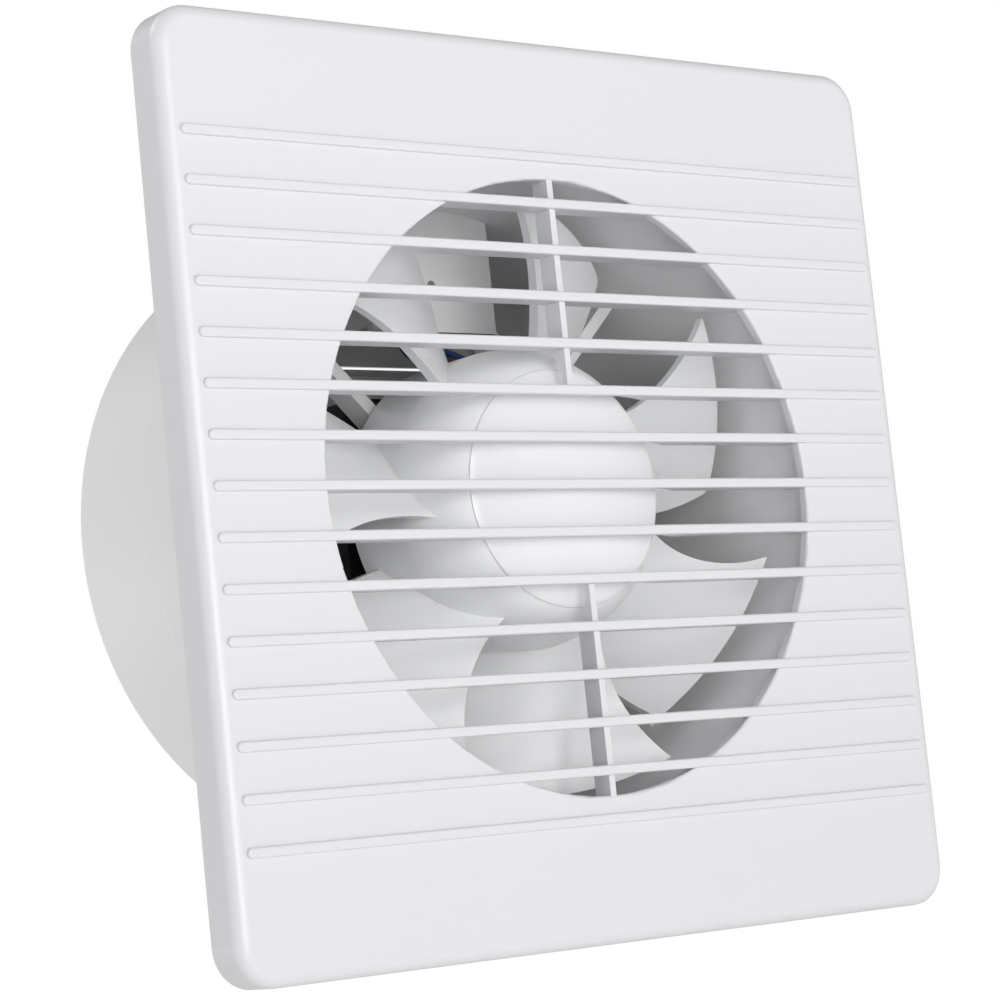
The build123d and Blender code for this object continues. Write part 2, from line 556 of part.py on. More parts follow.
with BuildPart() as impeller:
    with BuildSketch(Plane.XY):
        with BuildLine():
            ThreePointArc((HUB_FRONT_R, HUB_FRONT_Y), (HUB_FRONT_R + HUB_BELLY, HUB_BELLY_Y),
                          (HUB_R, HUB_FLARE_Y))
            Line((HUB_R, HUB_FLARE_Y), (HUB_R, HUB_REAR_Y))
            Line((HUB_R, HUB_REAR_Y), (HUB_R - HUB_WALL, HUB_REAR_Y))
            Line((HUB_R - HUB_WALL, HUB_REAR_Y), (HUB_R - HUB_WALL, HUB_FLARE_Y))
            ThreePointArc((HUB_R - HUB_WALL, HUB_FLARE_Y),
                          (HUB_FRONT_R + HUB_BELLY - HUB_WALL, HUB_BELLY_Y),
                          (HUB_FRONT_R - HUB_WALL, HUB_FRONT_Y))
            Line((HUB_FRONT_R - HUB_WALL, HUB_FRONT_Y), (HUB_FRONT_R, HUB_FRONT_Y))
        make_face()
    revolve(axis=Axis.Y)
    with BuildSketch(facing_room(HUB_WEB_Y)):
        Circle(HUB_R - HUB_WALL)
    extrude(amount=-HUB_WEB_THICK)
    with BuildSketch(facing_room(HUB_WEB_Y)):
        Circle(HUB_BOSS_R)
    extrude(amount=-HUB_BOSS_LENGTH)
    with BuildSketch(facing_room(HUB_WEB_Y)):
        Circle(BUSH_R)
    extrude(amount=-HUB_BOSS_LENGTH, mode=Mode.SUBTRACT)
    for number in range(BLADE_COUNT):
        add(blade.part.rotate(Axis.Y, -number * 360 / BLADE_COUNT))
    # the hub stays hollow behind its web and in front of it
    with BuildSketch(Plane.XY):
        with BuildLine():
            Polyline((HUB_BOSS_R, HUB_WEB_Y + HUB_WEB_THICK), (HUB_R - HUB_WALL, HUB_WEB_Y + HUB_WEB_THICK),
                     (HUB_R - HUB_WALL, HUB_REAR_Y + HUB_WALL), (HUB_BOSS_R, HUB_REAR_Y + HUB_WALL), close=True)
        make_face()
    revolve(axis=Axis.Y, mode=Mode.SUBTRACT)
save("impeller", impeller.part)

# the cap's skirt plugs into the hub's front rim
SKIRT_R = CAP_R - HUB_WALL - CAP_PLAY
SKIRT_INNER_R = SKIRT_R - CAP_THICK
CAP_EDGE_Y = HUB_FRONT_Y - CAP_SEAM


def dome_middle(radius, centre_y, edge_y):
    """The point halfway out on a shallow dome from its centre to its edge."""
    rise = edge_y - centre_y
    sphere_r = (radius ** 2 + rise ** 2) / (2 * rise)
    half = radius / 2
    return (half, centre_y + sphere_r - (sphere_r ** 2 - half ** 2) ** 0.5)


CAP_INSIDE_Y = CAP_FRONT_Y + CAP_THICK
with BuildPart() as nose_cap:
    with BuildSketch(Plane.XY):
        with BuildLine():
            ThreePointArc((0, CAP_FRONT_Y), dome_middle(CAP_R, CAP_FRONT_Y, CAP_EDGE_Y), (CAP_R, CAP_EDGE_Y))
            Polyline((CAP_R, CAP_EDGE_Y), (CAP_R - CAP_SEAM, HUB_FRONT_Y), (SKIRT_R, HUB_FRONT_Y),
                     (SKIRT_R, HUB_FRONT_Y + CAP_LIP), (SKIRT_INNER_R, HUB_FRONT_Y + CAP_LIP),
                     (SKIRT_INNER_R, HUB_FRONT_Y))
            ThreePointArc((SKIRT_INNER_R, HUB_FRONT_Y), dome_middle(SKIRT_INNER_R, CAP_INSIDE_Y, HUB_FRONT_Y),
                          (0, CAP_INSIDE_Y))
            Line((0, CAP_INSIDE_Y), (0, CAP_FRONT_Y))
        make_face()
    revolve(axis=Axis.Y)
save("nose_cap", nose_cap.part)


def shaft_outline():
    """The shaft's section where it has its flat."""
    Circle(SHAFT_R)
    with Locations((0, -SHAFT_R)):
        Rectangle(2 * SHAFT_R, SHAFT_R + SHAFT_FLAT, align=(Align.CENTER, Align.MIN), mode=Mode.INTERSECT)


FLAT_END_Y = HUB_WEB_Y + HUB_BOSS_LENGTH

with BuildPart() as impeller_bush:
    with BuildSketch(facing_room(HUB_WEB_Y)):
        Circle(BUSH_R)
    extrude(amount=-HUB_BOSS_LENGTH)
    with BuildSketch(facing_room(HUB_WEB_Y)):
        shaft_outline()
    extrude(amount=-HUB_BOSS_LENGTH, mode=Mode.SUBTRACT)
save("impeller_bush", impeller_bush.part)

with BuildPart() as impeller_nut:
    with BuildSketch(facing_room(HUB_WEB_Y)):
        RegularPolygon(NUT_ACROSS / 2, NUT_SIDES, major_radius=False)
        Circle(SHAFT_THREAD_R, mode=Mode.SUBTRACT)
    extrude(amount=NUT_THICK)
save("impeller_nut", impeller_nut.part)

# ---------------------------------------------------------------- rotor
with BuildPart() as motor_shaft:
    with BuildSketch(facing_room(SHAFT_FRONT_Y)):
        Circle(SHAFT_THREAD_R)
    extrude(amount=-SHAFT_THREAD_LENGTH)
    with BuildSketch(facing_room(HUB_WEB_Y)):
        shaft_outline()
    extrude(amount=-HUB_BOSS_LENGTH)
    with BuildSketch(facing_room(FLAT_END_Y)):
        Circle(SHAFT_R)
    extrude(amount=-(SHAFT_REAR_Y - FLAT_END_Y))
    chamfer(motor_shaft.faces().sort_by(Axis.Y)[-1].edges(), length=SHAFT_CHAMFER)
    chamfer(motor_shaft.faces().sort_by(Axis.Y)[0].edges(), length=SHAFT_CHAMFER)
save("motor_shaft", motor_shaft.part)

with BuildPart() as rotor_core:
    with BuildSketch(facing_room(CORE_Y)):
        Circle(ROTOR_R)
        Circle(SHAFT_R, mode=Mode.SUBTRACT)
    extrude(amount=-CORE_THICK)
save("rotor_core", rotor_core.part)

with BuildPart() as rotor_end_rings:
    for start in (CORE_Y - END_RING_THICK, CORE_BACK_Y):
        with BuildSketch(facing_room(start)):
            Circle(END_RING_R)
            Circle(END_RING_BORE, mode=Mode.SUBTRACT)
        extrude(amount=-END_RING_THICK)
save("rotor_end_rings", rotor_end_rings.part)

FRONT_WASHER_Y = CORE_Y - WASHER_TO_CORE
REAR_WASHER_Y = CORE_BACK_Y + WASHER_TO_CORE - WASHER_THICK
with BuildPart() as thrust_washers:
    for start in (FRONT_WASHER_Y, REAR_WASHER_Y):
        with BuildSketch(facing_room(start)):
            Circle(SHAFT_R + WASHER_WIDTH)
            Circle(SHAFT_R, mode=Mode.SUBTRACT)
        extrude(amount=-WASHER_THICK)
save("thrust_washers", thrust_washers.part)

with BuildPart() as rotor_spacers:
    for start, length in ((FRONT_WASHER_Y + WASHER_THICK, CORE_Y - FRONT_WASHER_Y - WASHER_THICK),
                          (CORE_BACK_Y, REAR_WASHER_Y - CORE_BACK_Y)):
        with BuildSketch(facing_room(start)):
            Circle(SHAFT_R + SPACER_WALL)
            Circle(SHAFT_R, mode=Mode.SUBTRACT)
        extrude(amount=-length)
save("rotor_spacers", rotor_spacers.part)

# ---------------------------------------------------------------- stator
CORE_WIDTH = CORE_LEFT + CORE_RIGHT
CORE_CENTRE_X = (CORE_RIGHT - CORE_LEFT) / 2
SHADING_PLACES = [(-SHADING_REACH, 1), (-SHADING_REACH, -1)]
SHADING_INNER_Z = CORE_BORE_R + SHADING_TO_BORE
SHADING_OUTER_Z = SHADING_INNER_Z + SHADING_SPAN
SHADING_HOLE = SHADING_BAR + SHADING_PLAY

with BuildPart() as stator_core:
    with BuildSketch(facing_room(CORE_Y)) as core_outline:
        with Locations((CORE_CENTRE_X, 0)):
            Rectangle(CORE_WIDTH, 2 * CORE_HALF_HEIGHT)
        chamfer(core_outline.vertices(), length=CORE_CHAMFER)
        with Locations((WINDOW_LEFT + WINDOW_WIDTH / 2, 0)):
            Rectangle(WINDOW_WIDTH, 2 * WINDOW_HALF_HEIGHT, mode=Mode.SUBTRACT)
        Circle(CORE_BORE_R, mode=Mode.SUBTRACT)
        with Locations((0, BOLT_OFFSET), (0, -BOLT_OFFSET)):
            Circle(BOLT_R + SCREW_GAP, mode=Mode.SUBTRACT)
        for centre_x, side in SHADING_PLACES:
            with Locations((centre_x - SHADING_SHIFT, side * SHADING_INNER_Z), (centre_x - SHADING_SHIFT, side * SHADING_OUTER_Z)):
                Rectangle(SHADING_HOLE, SHADING_HOLE, mode=Mode.SUBTRACT)
    extrude(amount=-CORE_THICK)
save("stator_core", stator_core.part)

with BuildPart() as shading_rings:
    for centre_x, side in SHADING_PLACES:
        middle_z = side * (SHADING_INNER_Z + SHADING_OUTER_Z) / 2
        span = SHADING_OUTER_Z - SHADING_INNER_Z
        with Locations((centre_x - SHADING_SHIFT, (CORE_Y + CORE_BACK_Y) / 2, middle_z)):
            Box(SHADING_BAR, CORE_THICK + 2 * SHADING_BAR, span + SHADING_BAR)
            Box(SHADING_BAR, CORE_THICK, span - SHADING_BAR, mode=Mode.SUBTRACT)
save("shading_rings", shading_rings.part)

BOBBIN_HALF = WINDOW_HALF_HEIGHT - BOBBIN_END_GAP
TUBE_WIDTH = CORE_LIMB + 2 * BOBBIN_WALL
TUBE_DEPTH = CORE_THICK + 2 * BOBBIN_WALL
COIL_WIDTH = TUBE_WIDTH + 2 * COIL_BUILD
COIL_DEPTH = TUBE_DEPTH + 2 * COIL_BUILD
LIMB_CENTRE = (LIMB_X + CORE_LIMB / 2, (CORE_Y + CORE_BACK_Y) / 2)
COIL_HALF = BOBBIN_HALF - BOBBIN_FLANGE


def around_limb(start_z, height, width, depth, corner, hole_width, hole_depth):
    """A rounded block round the core's coil limb, with a square hole through it."""
    with BuildPart() as block:
        with BuildSketch(Plane.XY.offset(start_z)):
            with Locations(LIMB_CENTRE):
                RectangleRounded(width, depth, corner)
                Rectangle(hole_width, hole_depth, mode=Mode.SUBTRACT)
        extrude(amount=height)
    return block.part


with BuildPart() as coil_bobbin:
    add(around_limb(-BOBBIN_HALF, 2 * BOBBIN_HALF, TUBE_WIDTH, TUBE_DEPTH, TAPE_THICK, CORE_LIMB, CORE_THICK))
    for start in (-BOBBIN_HALF, COIL_HALF):
        add(around_limb(start, BOBBIN_FLANGE, COIL_WIDTH + 2 * TAPE_THICK, COIL_DEPTH + 2 * TAPE_THICK, BOBBIN_CORNER,
                        CORE_LIMB, CORE_THICK))
save("coil_bobbin", coil_bobbin.part)

with BuildPart() as coil_winding:
    add(around_limb(-COIL_HALF, 2 * COIL_HALF, COIL_WIDTH, COIL_DEPTH, COIL_CORNER, TUBE_WIDTH, TUBE_DEPTH))
save("coil_winding", coil_winding.part)

with BuildPart() as coil_tape:
    with BuildSketch(Plane.XY.offset(-COIL_HALF)):
        with Locations(LIMB_CENTRE):
            RectangleRounded(COIL_WIDTH + 2 * TAPE_THICK, COIL_DEPTH + 2 * TAPE_THICK, COIL_CORNER + TAPE_THICK)
            RectangleRounded(COIL_WIDTH, COIL_DEPTH, COIL_CORNER, mode=Mode.SUBTRACT)
    extrude(amount=2 * COIL_HALF)
save("coil_tape", coil_tape.part)

# ---------------------------------------------------------------- bearing brackets and bearings
BRACKET_EAR = MOUNT_SCREW_OFFSET + EAR_MARGIN


def bearing_bracket(plate_y, outward):
    """A strap across the core with a bearing cup.  plate_y is the strap's face towards the rotor, and
    outward is -1 for the cup towards the room and +1 for the cup away from it."""
    with BuildPart() as bracket:
        with BuildSketch(facing_room(plate_y)):
            SlotOverall(2 * (BOLT_OFFSET + LEG_R + LEG_SHOULDER), 2 * BRACKET_HALF_WIDTH, rotation=90)
            SlotOverall(2 * BRACKET_EAR, EAR_WIDTH)
            Circle(CUP_R)
            with Locations((0, BOLT_OFFSET), (0, -BOLT_OFFSET)):
                Circle(BOLT_R + SCREW_GAP, mode=Mode.SUBTRACT)
            with Locations((MOUNT_SCREW_OFFSET, 0), (-MOUNT_SCREW_OFFSET, 0)):
                Circle(MOUNT_SCREW_R, mode=Mode.SUBTRACT)
        extrude(amount=-outward * BRACKET_THICK)
        with BuildSketch(facing_room(plate_y)):
            with Locations((0, BOLT_OFFSET), (0, -BOLT_OFFSET)):
                Circle(LEG_R)
                Circle(BOLT_R + SCREW_GAP, mode=Mode.SUBTRACT)
        extrude(amount=outward * LEG_LENGTH)
        with BuildSketch(facing_room(plate_y)):
            Circle(CUP_R)
        extrude(amount=-outward * CUP_LENGTH)
        with BuildSketch(facing_room(plate_y)):
            Circle(FELT_R)
        extrude(amount=-outward * (CUP_LENGTH - CUP_FLOOR), mode=Mode.SUBTRACT)
        with BuildSketch(facing_room(plate_y)):
            Circle(BEARING_R)
        extrude(amount=-outward * (CUP_LENGTH - CUP_FLOOR + BEARING_SEAT), mode=Mode.SUBTRACT)
        with BuildSketch(facing_room(plate_y)):
            Circle(SHAFT_R + SHAFT_CLEARANCE)
        extrude(amount=-outward * CUP_LENGTH, mode=Mode.SUBTRACT)
    return bracket.part


FRONT_PLATE_FACE_Y = SEAT_BACK_Y + BRACKET_THICK
REAR_PLATE_FACE_Y = REAR_PLATE_Y
ENDS = ((FRONT_PLATE_FACE_Y, -1), (REAR_PLATE_FACE_Y, 1))

with BuildPart() as front_bracket:
    add(bearing_bracket(FRONT_PLATE_FACE_Y, -1))
save("front_bracket", front_bracket.part)

with BuildPart() as rear_bracket:
    add(bearing_bracket(REAR_PLATE_FACE_Y, 1))
save("rear_bracket", rear_bracket.part)

BEARING_OUTER = CUP_LENGTH - CUP_FLOOR + BEARING_SEAT
with BuildPart() as bearing_bushes:
    for face_y, outward in ENDS:
        with BuildSketch(facing_room(face_y + outward * BEARING_OUTER)):
            Circle(BEARING_R)
            Circle(SHAFT_R + RUNNING_GAP, mode=Mode.SUBTRACT)
        extrude(amount=outward * BEARING_LENGTH)
save("bearing_bushes", bearing_bushes.part)

FELT_OUTER = CUP_LENGTH - CUP_FLOOR
FELT_LENGTH = BEARING_LENGTH - BEARING_SEAT
with BuildPart() as felt_oilers:
    for face_y, outward in ENDS:
        with BuildSketch(facing_room(face_y + outward * FELT_OUTER)):
            Circle(FELT_R)
            Circle(BEARING_R, mode=Mode.SUBTRACT)
        extrude(amount=outward * FELT_LENGTH)
save("felt_oilers", felt_oilers.part)

with BuildPart() as bearing_retainers:
    for face_y, outward in ENDS:
        with BuildSketch(facing_room(face_y + outward * (FELT_OUTER - FELT_LENGTH))):
            Circle(FELT_R)
            Circle(SHAFT_R + RETAINER_MARGIN, mode=Mode.SUBTRACT)
        extrude(amount=outward * RETAINER_THICK)
save("bearing_retainers", bearing_retainers.part)

# ---------------------------------------------------------------- motor fasteners
BOLT_START_Y = SEAT_BACK_Y
BOLT_END_Y = REAR_PLATE_Y + BRACKET_THICK
with BuildPart() as motor_bolts:
    with BuildSketch(facing_room(BOLT_START_Y - BOLT_TAIL)):
        with Locations((0, BOLT_OFFSET), (0, -BOLT_OFFSET)):
            Circle(BOLT_R)
    extrude(amount=-(BOLT_END_Y - BOLT_START_Y + BOLT_TAIL))
    with BuildSketch(facing_room(BOLT_END_Y)):
        with Locations((0, BOLT_OFFSET), (0, -BOLT_OFFSET)):
            Circle(BOLT_HEAD_R)
    extrude(amount=-BOLT_HEAD_THICK)
    with BuildSketch(facing_room(BOLT_END_Y + BOLT_HEAD_THICK)):
        with Locations((0, BOLT_OFFSET), (0, -BOLT_OFFSET)):
            Rectangle(BOLT_RECESS_WIDTH, BOLT_RECESS_SPAN)
            Rectangle(BOLT_RECESS_SPAN, BOLT_RECESS_WIDTH)
    extrude(amount=BOLT_RECESS_DEPTH, mode=Mode.SUBTRACT)
save("motor_bolts", motor_bolts.part)

with BuildPart() as motor_nuts:
    with BuildSketch(facing_room(BOLT_START_Y)):
        with Locations((0, BOLT_OFFSET), (0, -BOLT_OFFSET)):
            RegularPolygon(MOTOR_NUT_ACROSS / 2, NUT_SIDES, major_radius=False)
            Circle(BOLT_R, mode=Mode.SUBTRACT)
    extrude(amount=MOTOR_NUT_THICK)
save("motor_nuts", motor_nuts.part)

with BuildPart() as motor_mount_screws:
    with BuildSketch(facing_room(SEAT_Y)):
        with Locations((-MOUNT_SCREW_OFFSET, 0), (MOUNT_SCREW_OFFSET, 0)):
            Circle(MOUNT_SCREW_R)
    extrude(amount=-(SEAT_THICK + BRACKET_THICK))
    with BuildSketch(facing_room(SEAT_Y)):
        with Locations((-MOUNT_SCREW_OFFSET, 0), (MOUNT_SCREW_OFFSET, 0)):
            Circle(MOUNT_HEAD_R)
    extrude(amount=MOUNT_HEAD_THICK)
save("motor_mount_screws", motor_mount_screws.part)

# ---------------------------------------------------------------- terminal box
POLES = (-POLE_PITCH / 2, POLE_PITCH / 2)
TUBE_Y = BLOCK_Y + BLOCK_DEPTH / 2 - TUBE_SHIFT
TERMINAL_SCREW_ROWS = (BLOCK_CENTRE_Z - TERMINAL_SCREW_OFFSET, BLOCK_CENTRE_Z + TERMINAL_SCREW_OFFSET)
TERMINAL_SCREW_PLACES = [(x, z) for x in POLES for z in TERMINAL_SCREW_ROWS]

with BuildPart() as terminal_block:
    with BuildSketch(facing_room(BLOCK_Y)):
        with Locations((0, BLOCK_CENTRE_Z)):
            RectangleRounded(BLOCK_WIDTH, BLOCK_HEIGHT, BLOCK_CORNER)
    extrude(amount=-BLOCK_DEPTH)
    with BuildSketch(Plane.XY.offset(BLOCK_CENTRE_Z - BLOCK_HEIGHT)):
        with Locations(*[(x, TUBE_Y) for x in POLES]):
            Circle(TUBE_R)
    extrude(amount=2 * BLOCK_HEIGHT, mode=Mode.SUBTRACT)
    with BuildSketch(facing_room(BLOCK_Y + BLOCK_DEPTH)):
        with Locations(*TERMINAL_SCREW_PLACES):
            Circle(TERMINAL_WELL_R)
    extrude(amount=BLOCK_DEPTH / 2, mode=Mode.SUBTRACT)
    with BuildSketch(facing_room(BLOCK_Y)):
        with Locations((0, BLOCK_CENTRE_Z)):
            Circle(TERMINAL_SCREW_R + SCREW_GAP)
    extrude(amount=-BLOCK_DEPTH, mode=Mode.SUBTRACT)
save("terminal_block", terminal_block.part)

with BuildPart() as terminal_tubes:
    with BuildSketch(Plane.XY.offset(BLOCK_CENTRE_Z - BLOCK_HEIGHT / 2 + TUBE_INSET)):
        with Locations(*[(x, TUBE_Y) for x in POLES]):
            Circle(TUBE_R)
            Circle(TUBE_BORE_R, mode=Mode.SUBTRACT)
    extrude(amount=BLOCK_HEIGHT - 2 * TUBE_INSET)
    with BuildSketch(facing_room(TUBE_Y)):
        with Locations(*TERMINAL_SCREW_PLACES):
            Circle(TERMINAL_SCREW_R)
    extrude(amount=-TUBE_R, mode=Mode.SUBTRACT)
save("terminal_tubes", terminal_tubes.part)

with BuildPart() as terminal_screws:
    with BuildSketch(facing_room(TUBE_Y + TUBE_BORE_R)):
        with Locations(*TERMINAL_SCREW_PLACES):
            Circle(TERMINAL_SCREW_R)
    extrude(amount=-(BLOCK_DEPTH / 2 - TUBE_BORE_R))
    with BuildSketch(facing_room(TUBE_Y + TUBE_R + TERMINAL_HEAD_LIFT)):
        with Locations(*TERMINAL_SCREW_PLACES):
            Circle(TERMINAL_HEAD_R)
    extrude(amount=-TERMINAL_HEAD_THICK)
    with BuildSketch(facing_room(TUBE_Y + TUBE_R + TERMINAL_HEAD_LIFT + TERMINAL_HEAD_THICK)):
        with Locations(*TERMINAL_SCREW_PLACES):
            Rectangle(TERMINAL_SLOT_WIDTH, 2 * TERMINAL_HEAD_R)
    extrude(amount=SCREW_SLOT_DEPTH, mode=Mode.SUBTRACT)
save("terminal_screws", terminal_screws.part)

with BuildPart() as terminal_block_screw:
    with BuildSketch(facing_room(TERMINAL_PLATE_Y)):
        with Locations((0, BLOCK_CENTRE_Z)):
            Circle(TERMINAL_SCREW_R)
    extrude(amount=-(TERMINAL_PLATE_THICK + BLOCK_DEPTH))
    with BuildSketch(facing_room(BLOCK_Y + BLOCK_DEPTH)):
        with Locations((0, BLOCK_CENTRE_Z)):
            Circle(TERMINAL_HEAD_R)
    extrude(amount=-BLOCK_SCREW_HEAD_THICK)
save("terminal_block_screw", terminal_block_screw.part)

COVER_OUTER_R = SPIGOT_BORE_R - COVER_RIM_GAP
COVER_HALF_WIDTH = TERMINAL_PLATE_WIDTH / 2 - COVER_SIDE_INSET

with BuildPart() as terminal_cover:
    with BuildSketch(facing_room(BLOCK_Y)):
        with Locations((0, COVER_BOTTOM)):
            Rectangle(2 * COVER_HALF_WIDTH, SPIGOT_R, align=(Align.CENTER, Align.MIN))
        Circle(COVER_OUTER_R, mode=Mode.INTERSECT)
    extrude(amount=-COVER_DEPTH)
    with BuildSketch(facing_room(BLOCK_Y)):
        with Locations((0, COVER_BOTTOM + COVER_WALL)):
            Rectangle(2 * (COVER_HALF_WIDTH - COVER_WALL), SPIGOT_R, align=(Align.CENTER, Align.MIN))
        Circle(SPIGOT_R, mode=Mode.INTERSECT)
    extrude(amount=-(COVER_DEPTH - COVER_WALL), mode=Mode.SUBTRACT)
    with BuildSketch(facing_room(COVER_END_Y - COVER_WALL)):
        with Locations((COVER_POST_X, COVER_POST_Z)):
            Circle(TERMINAL_SCREW_R + SCREW_GAP)
    extrude(amount=-COVER_WALL, mode=Mode.SUBTRACT)
    # notches for the motor leads
    with BuildSketch(Plane.XY.offset(COVER_BOTTOM)):
        with Locations(*[(x, TUBE_Y) for x in POLES]):
            Circle(LEAD_R + LEAD_NOTCH_GAP)
        with Locations(*[(x, TUBE_Y) for x in POLES]):
            Rectangle(2 * (LEAD_R + LEAD_NOTCH_GAP), TUBE_Y - BLOCK_Y, align=(Align.CENTER, Align.MAX))
    extrude(amount=COVER_WALL, mode=Mode.SUBTRACT)
save("terminal_cover", terminal_cover.part)

with BuildPart() as terminal_cover_screw:
    with BuildSketch(facing_room(COVER_END_Y)):
        with Locations((COVER_POST_X, COVER_POST_Z)):
            Circle(COVER_SCREW_HEAD_R)
    extrude(amount=-COVER_SCREW_HEAD_THICK)
    with BuildSketch(facing_room(COVER_END_Y)):
        with Locations((COVER_POST_X, COVER_POST_Z)):
            Circle(TERMINAL_SCREW_R)
    extrude(amount=THREAD_PILOT_DEPTH)
save("terminal_cover_screw", terminal_cover_screw.part)

with BuildPart() as cable_grommet:
    with BuildSketch(Plane.XY.offset(SPIGOT_BORE_R - GROMMET_FLANGE_THICK - GROMMET_CURVE_ROOM)):
        with Locations((0, GROMMET_Y)):
            Circle(GROMMET_FLANGE_R)
    extrude(amount=SPIGOT_WALL + 2 * GROMMET_FLANGE_THICK + GROMMET_CURVE_ROOM)
    with BuildSketch(facing_room(GROMMET_Y - 10)):
        Circle(SPIGOT_R)
        Circle(SPIGOT_BORE_R, mode=Mode.SUBTRACT)
    extrude(amount=-20, mode=Mode.SUBTRACT)
    with BuildSketch(Plane.XY.offset(SPIGOT_BORE_R - GROMMET_FLANGE_THICK - GROMMET_CURVE_ROOM)):
        with Locations((0, GROMMET_Y)):
            Circle(GROMMET_NECK_R)
    extrude(amount=SPIGOT_WALL + 2 * GROMMET_FLANGE_THICK + GROMMET_CURVE_ROOM)
    with BuildSketch(Plane.XY.offset(SPIGOT_BORE_R - GROMMET_FLANGE_THICK - GROMMET_CURVE_ROOM)):
        with Locations((0, GROMMET_Y)):
            Circle(GROMMET_BORE_R)
    extrude(amount=SPIGOT_WALL + 2 * GROMMET_FLANGE_THICK + GROMMET_CURVE_ROOM, mode=Mode.SUBTRACT)
save("cable_grommet", cable_grommet.part)

# ---------------------------------------------------------------- motor leads
LEAD_START_Y = CORE_BACK_Y + BOBBIN_WALL + COIL_BUILD / 2


def motor_lead(coil_x, pole_x, rise):
    """A sleeved lead from the coil's upper flange, over the core and into a terminal from below."""
    route = [
        (coil_x, LEAD_START_Y, BOBBIN_HALF),
        (coil_x, LEAD_START_Y, rise),
        (pole_x + LEAD_REACH, TUBE_Y + LEAD_SETBACK, rise + LEAD_LIFT),
        (pole_x, TUBE_Y, BLOCK_TOP - BLOCK_HEIGHT - LEAD_DROP),
        (pole_x, TUBE_Y, BLOCK_TOP - BLOCK_HEIGHT + LEAD_ENTRY),
    ]
    with BuildPart() as lead:
        with BuildLine():
            FilletPolyline(*route, radius=list(LEAD_BENDS))
        with BuildSketch(Plane.XY.offset(BOBBIN_HALF)):
            with Locations((coil_x, LEAD_START_Y)):
                Circle(LEAD_R)
        sweep()
    return lead.part


with BuildPart() as motor_lead_live:
    add(motor_lead(LIMB_CENTRE[0] + LIVE_SHIFT, POLES[1], LIVE_RISE))
save("motor_lead_live", motor_lead_live.part)

with BuildPart() as motor_lead_neutral:
    add(motor_lead(LIMB_CENTRE[0] + NEUTRAL_SHIFT, POLES[0], NEUTRAL_RISE))
save("motor_lead_neutral", motor_lead_neutral.part)

# ---------------------------------------------------------------- backdraught shutter
FILLER_Z = FLAP_TOP_Z + FLAP_RISE + FLAP_GAP


def pin_end(hinge_z):
    """How far a flap's pins reach from the middle at a height."""
    return sqrt(SHUTTER_INNER_R ** 2 - hinge_z ** 2) + PIN_REACH


with BuildPart() as shutter_frame:
    with BuildSketch(facing_room(SHUTTER_Y)):
        Circle(SHUTTER_R)
        Circle(SHUTTER_INNER_R, mode=Mode.SUBTRACT)
    extrude(amount=-SHUTTER_DEPTH)
    with BuildSketch(facing_room(SHUTTER_Y)):
        Circle(SHUTTER_INNER_R + WELD)
        Circle(LEDGE_R, mode=Mode.SUBTRACT)
    extrude(amount=-SHUTTER_LEDGE_THICK)
    with BuildSketch(facing_room(SHUTTER_Y)):
        Circle(SHUTTER_INNER_R + WELD)
        with Locations((0, FILLER_Z)):
            Rectangle(2 * SHUTTER_R, SHUTTER_R, align=(Align.CENTER, Align.MIN), mode=Mode.INTERSECT)
    extrude(amount=-SHUTTER_DEPTH)
    for hinge_z in HINGE_LINES:
        with Locations((0, FLAP_Y, hinge_z)):
            Cylinder(FLAP_PIN_R + RUNNING_GAP, 2 * (pin_end(hinge_z) + PIN_END_PLAY), rotation=(0, 90, 0),
                     mode=Mode.SUBTRACT)
    with BuildSketch(facing_room(SHUTTER_Y)):
        for angle in SHUTTER_SCREW_ANGLES:
            with Locations(polar(LUG_CENTRE_R, angle)):
                Circle(SHUTTER_SCREW_R + SCREW_GAP)
    extrude(amount=-SHUTTER_DEPTH, mode=Mode.SUBTRACT)
    with BuildSketch(facing_room(SHUTTER_END_Y)):
        for angle in SHUTTER_SCREW_ANGLES:
            with Locations(polar(LUG_CENTRE_R, angle)):
                Circle(SHUTTER_HEAD_R + SCREW_GAP)
    extrude(amount=SHUTTER_HEAD_RECESS, mode=Mode.SUBTRACT)
save("shutter_frame", shutter_frame.part)

with BuildPart() as shutter_screws:
    with BuildSketch(facing_room(SHUTTER_END_Y - SHUTTER_HEAD_RECESS)):
        for angle in SHUTTER_SCREW_ANGLES:
            with Locations(polar(LUG_CENTRE_R, angle)):
                Circle(SHUTTER_HEAD_R)
    extrude(amount=-SHUTTER_HEAD_THICK)
    with BuildSketch(facing_room(SHUTTER_END_Y - SHUTTER_HEAD_RECESS)):
        for angle in SHUTTER_SCREW_ANGLES:
            with Locations(polar(LUG_CENTRE_R, angle)):
                Circle(SHUTTER_SCREW_R)
    extrude(amount=SHUTTER_DEPTH - SHUTTER_HEAD_RECESS + THREAD_PILOT_DEPTH)
save("shutter_screws", shutter_screws.part)

for number, hinge_z in enumerate(HINGE_LINES, start=1):
    lowest_z = -FLAP_R if number == FLAP_COUNT else hinge_z - FLAP_PITCH + FLAP_RISE + FLAP_GAP
    with BuildPart() as flap:
        with BuildSketch(facing_room(FLAP_Y - FLAP_THICK / 2)):
            Circle(FLAP_R)
            with Locations((0, -FLAP_SWING_ROOM)):
                Circle(FLAP_R, mode=Mode.INTERSECT)
            with Locations((0, lowest_z)):
                Rectangle(2 * FLAP_R, hinge_z + FLAP_RISE - lowest_z, align=(Align.CENTER, Align.MIN),
                          mode=Mode.INTERSECT)
        extrude(amount=-FLAP_THICK)
        with Locations((0, FLAP_Y, hinge_z)):
            Cylinder(FLAP_PIN_R, 2 * pin_end(hinge_z), rotation=(0, 90, 0))
    save(f"shutter_flap_{number}", flap.part)
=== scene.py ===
import json
from math import cos, pi, radians, sin, sqrt

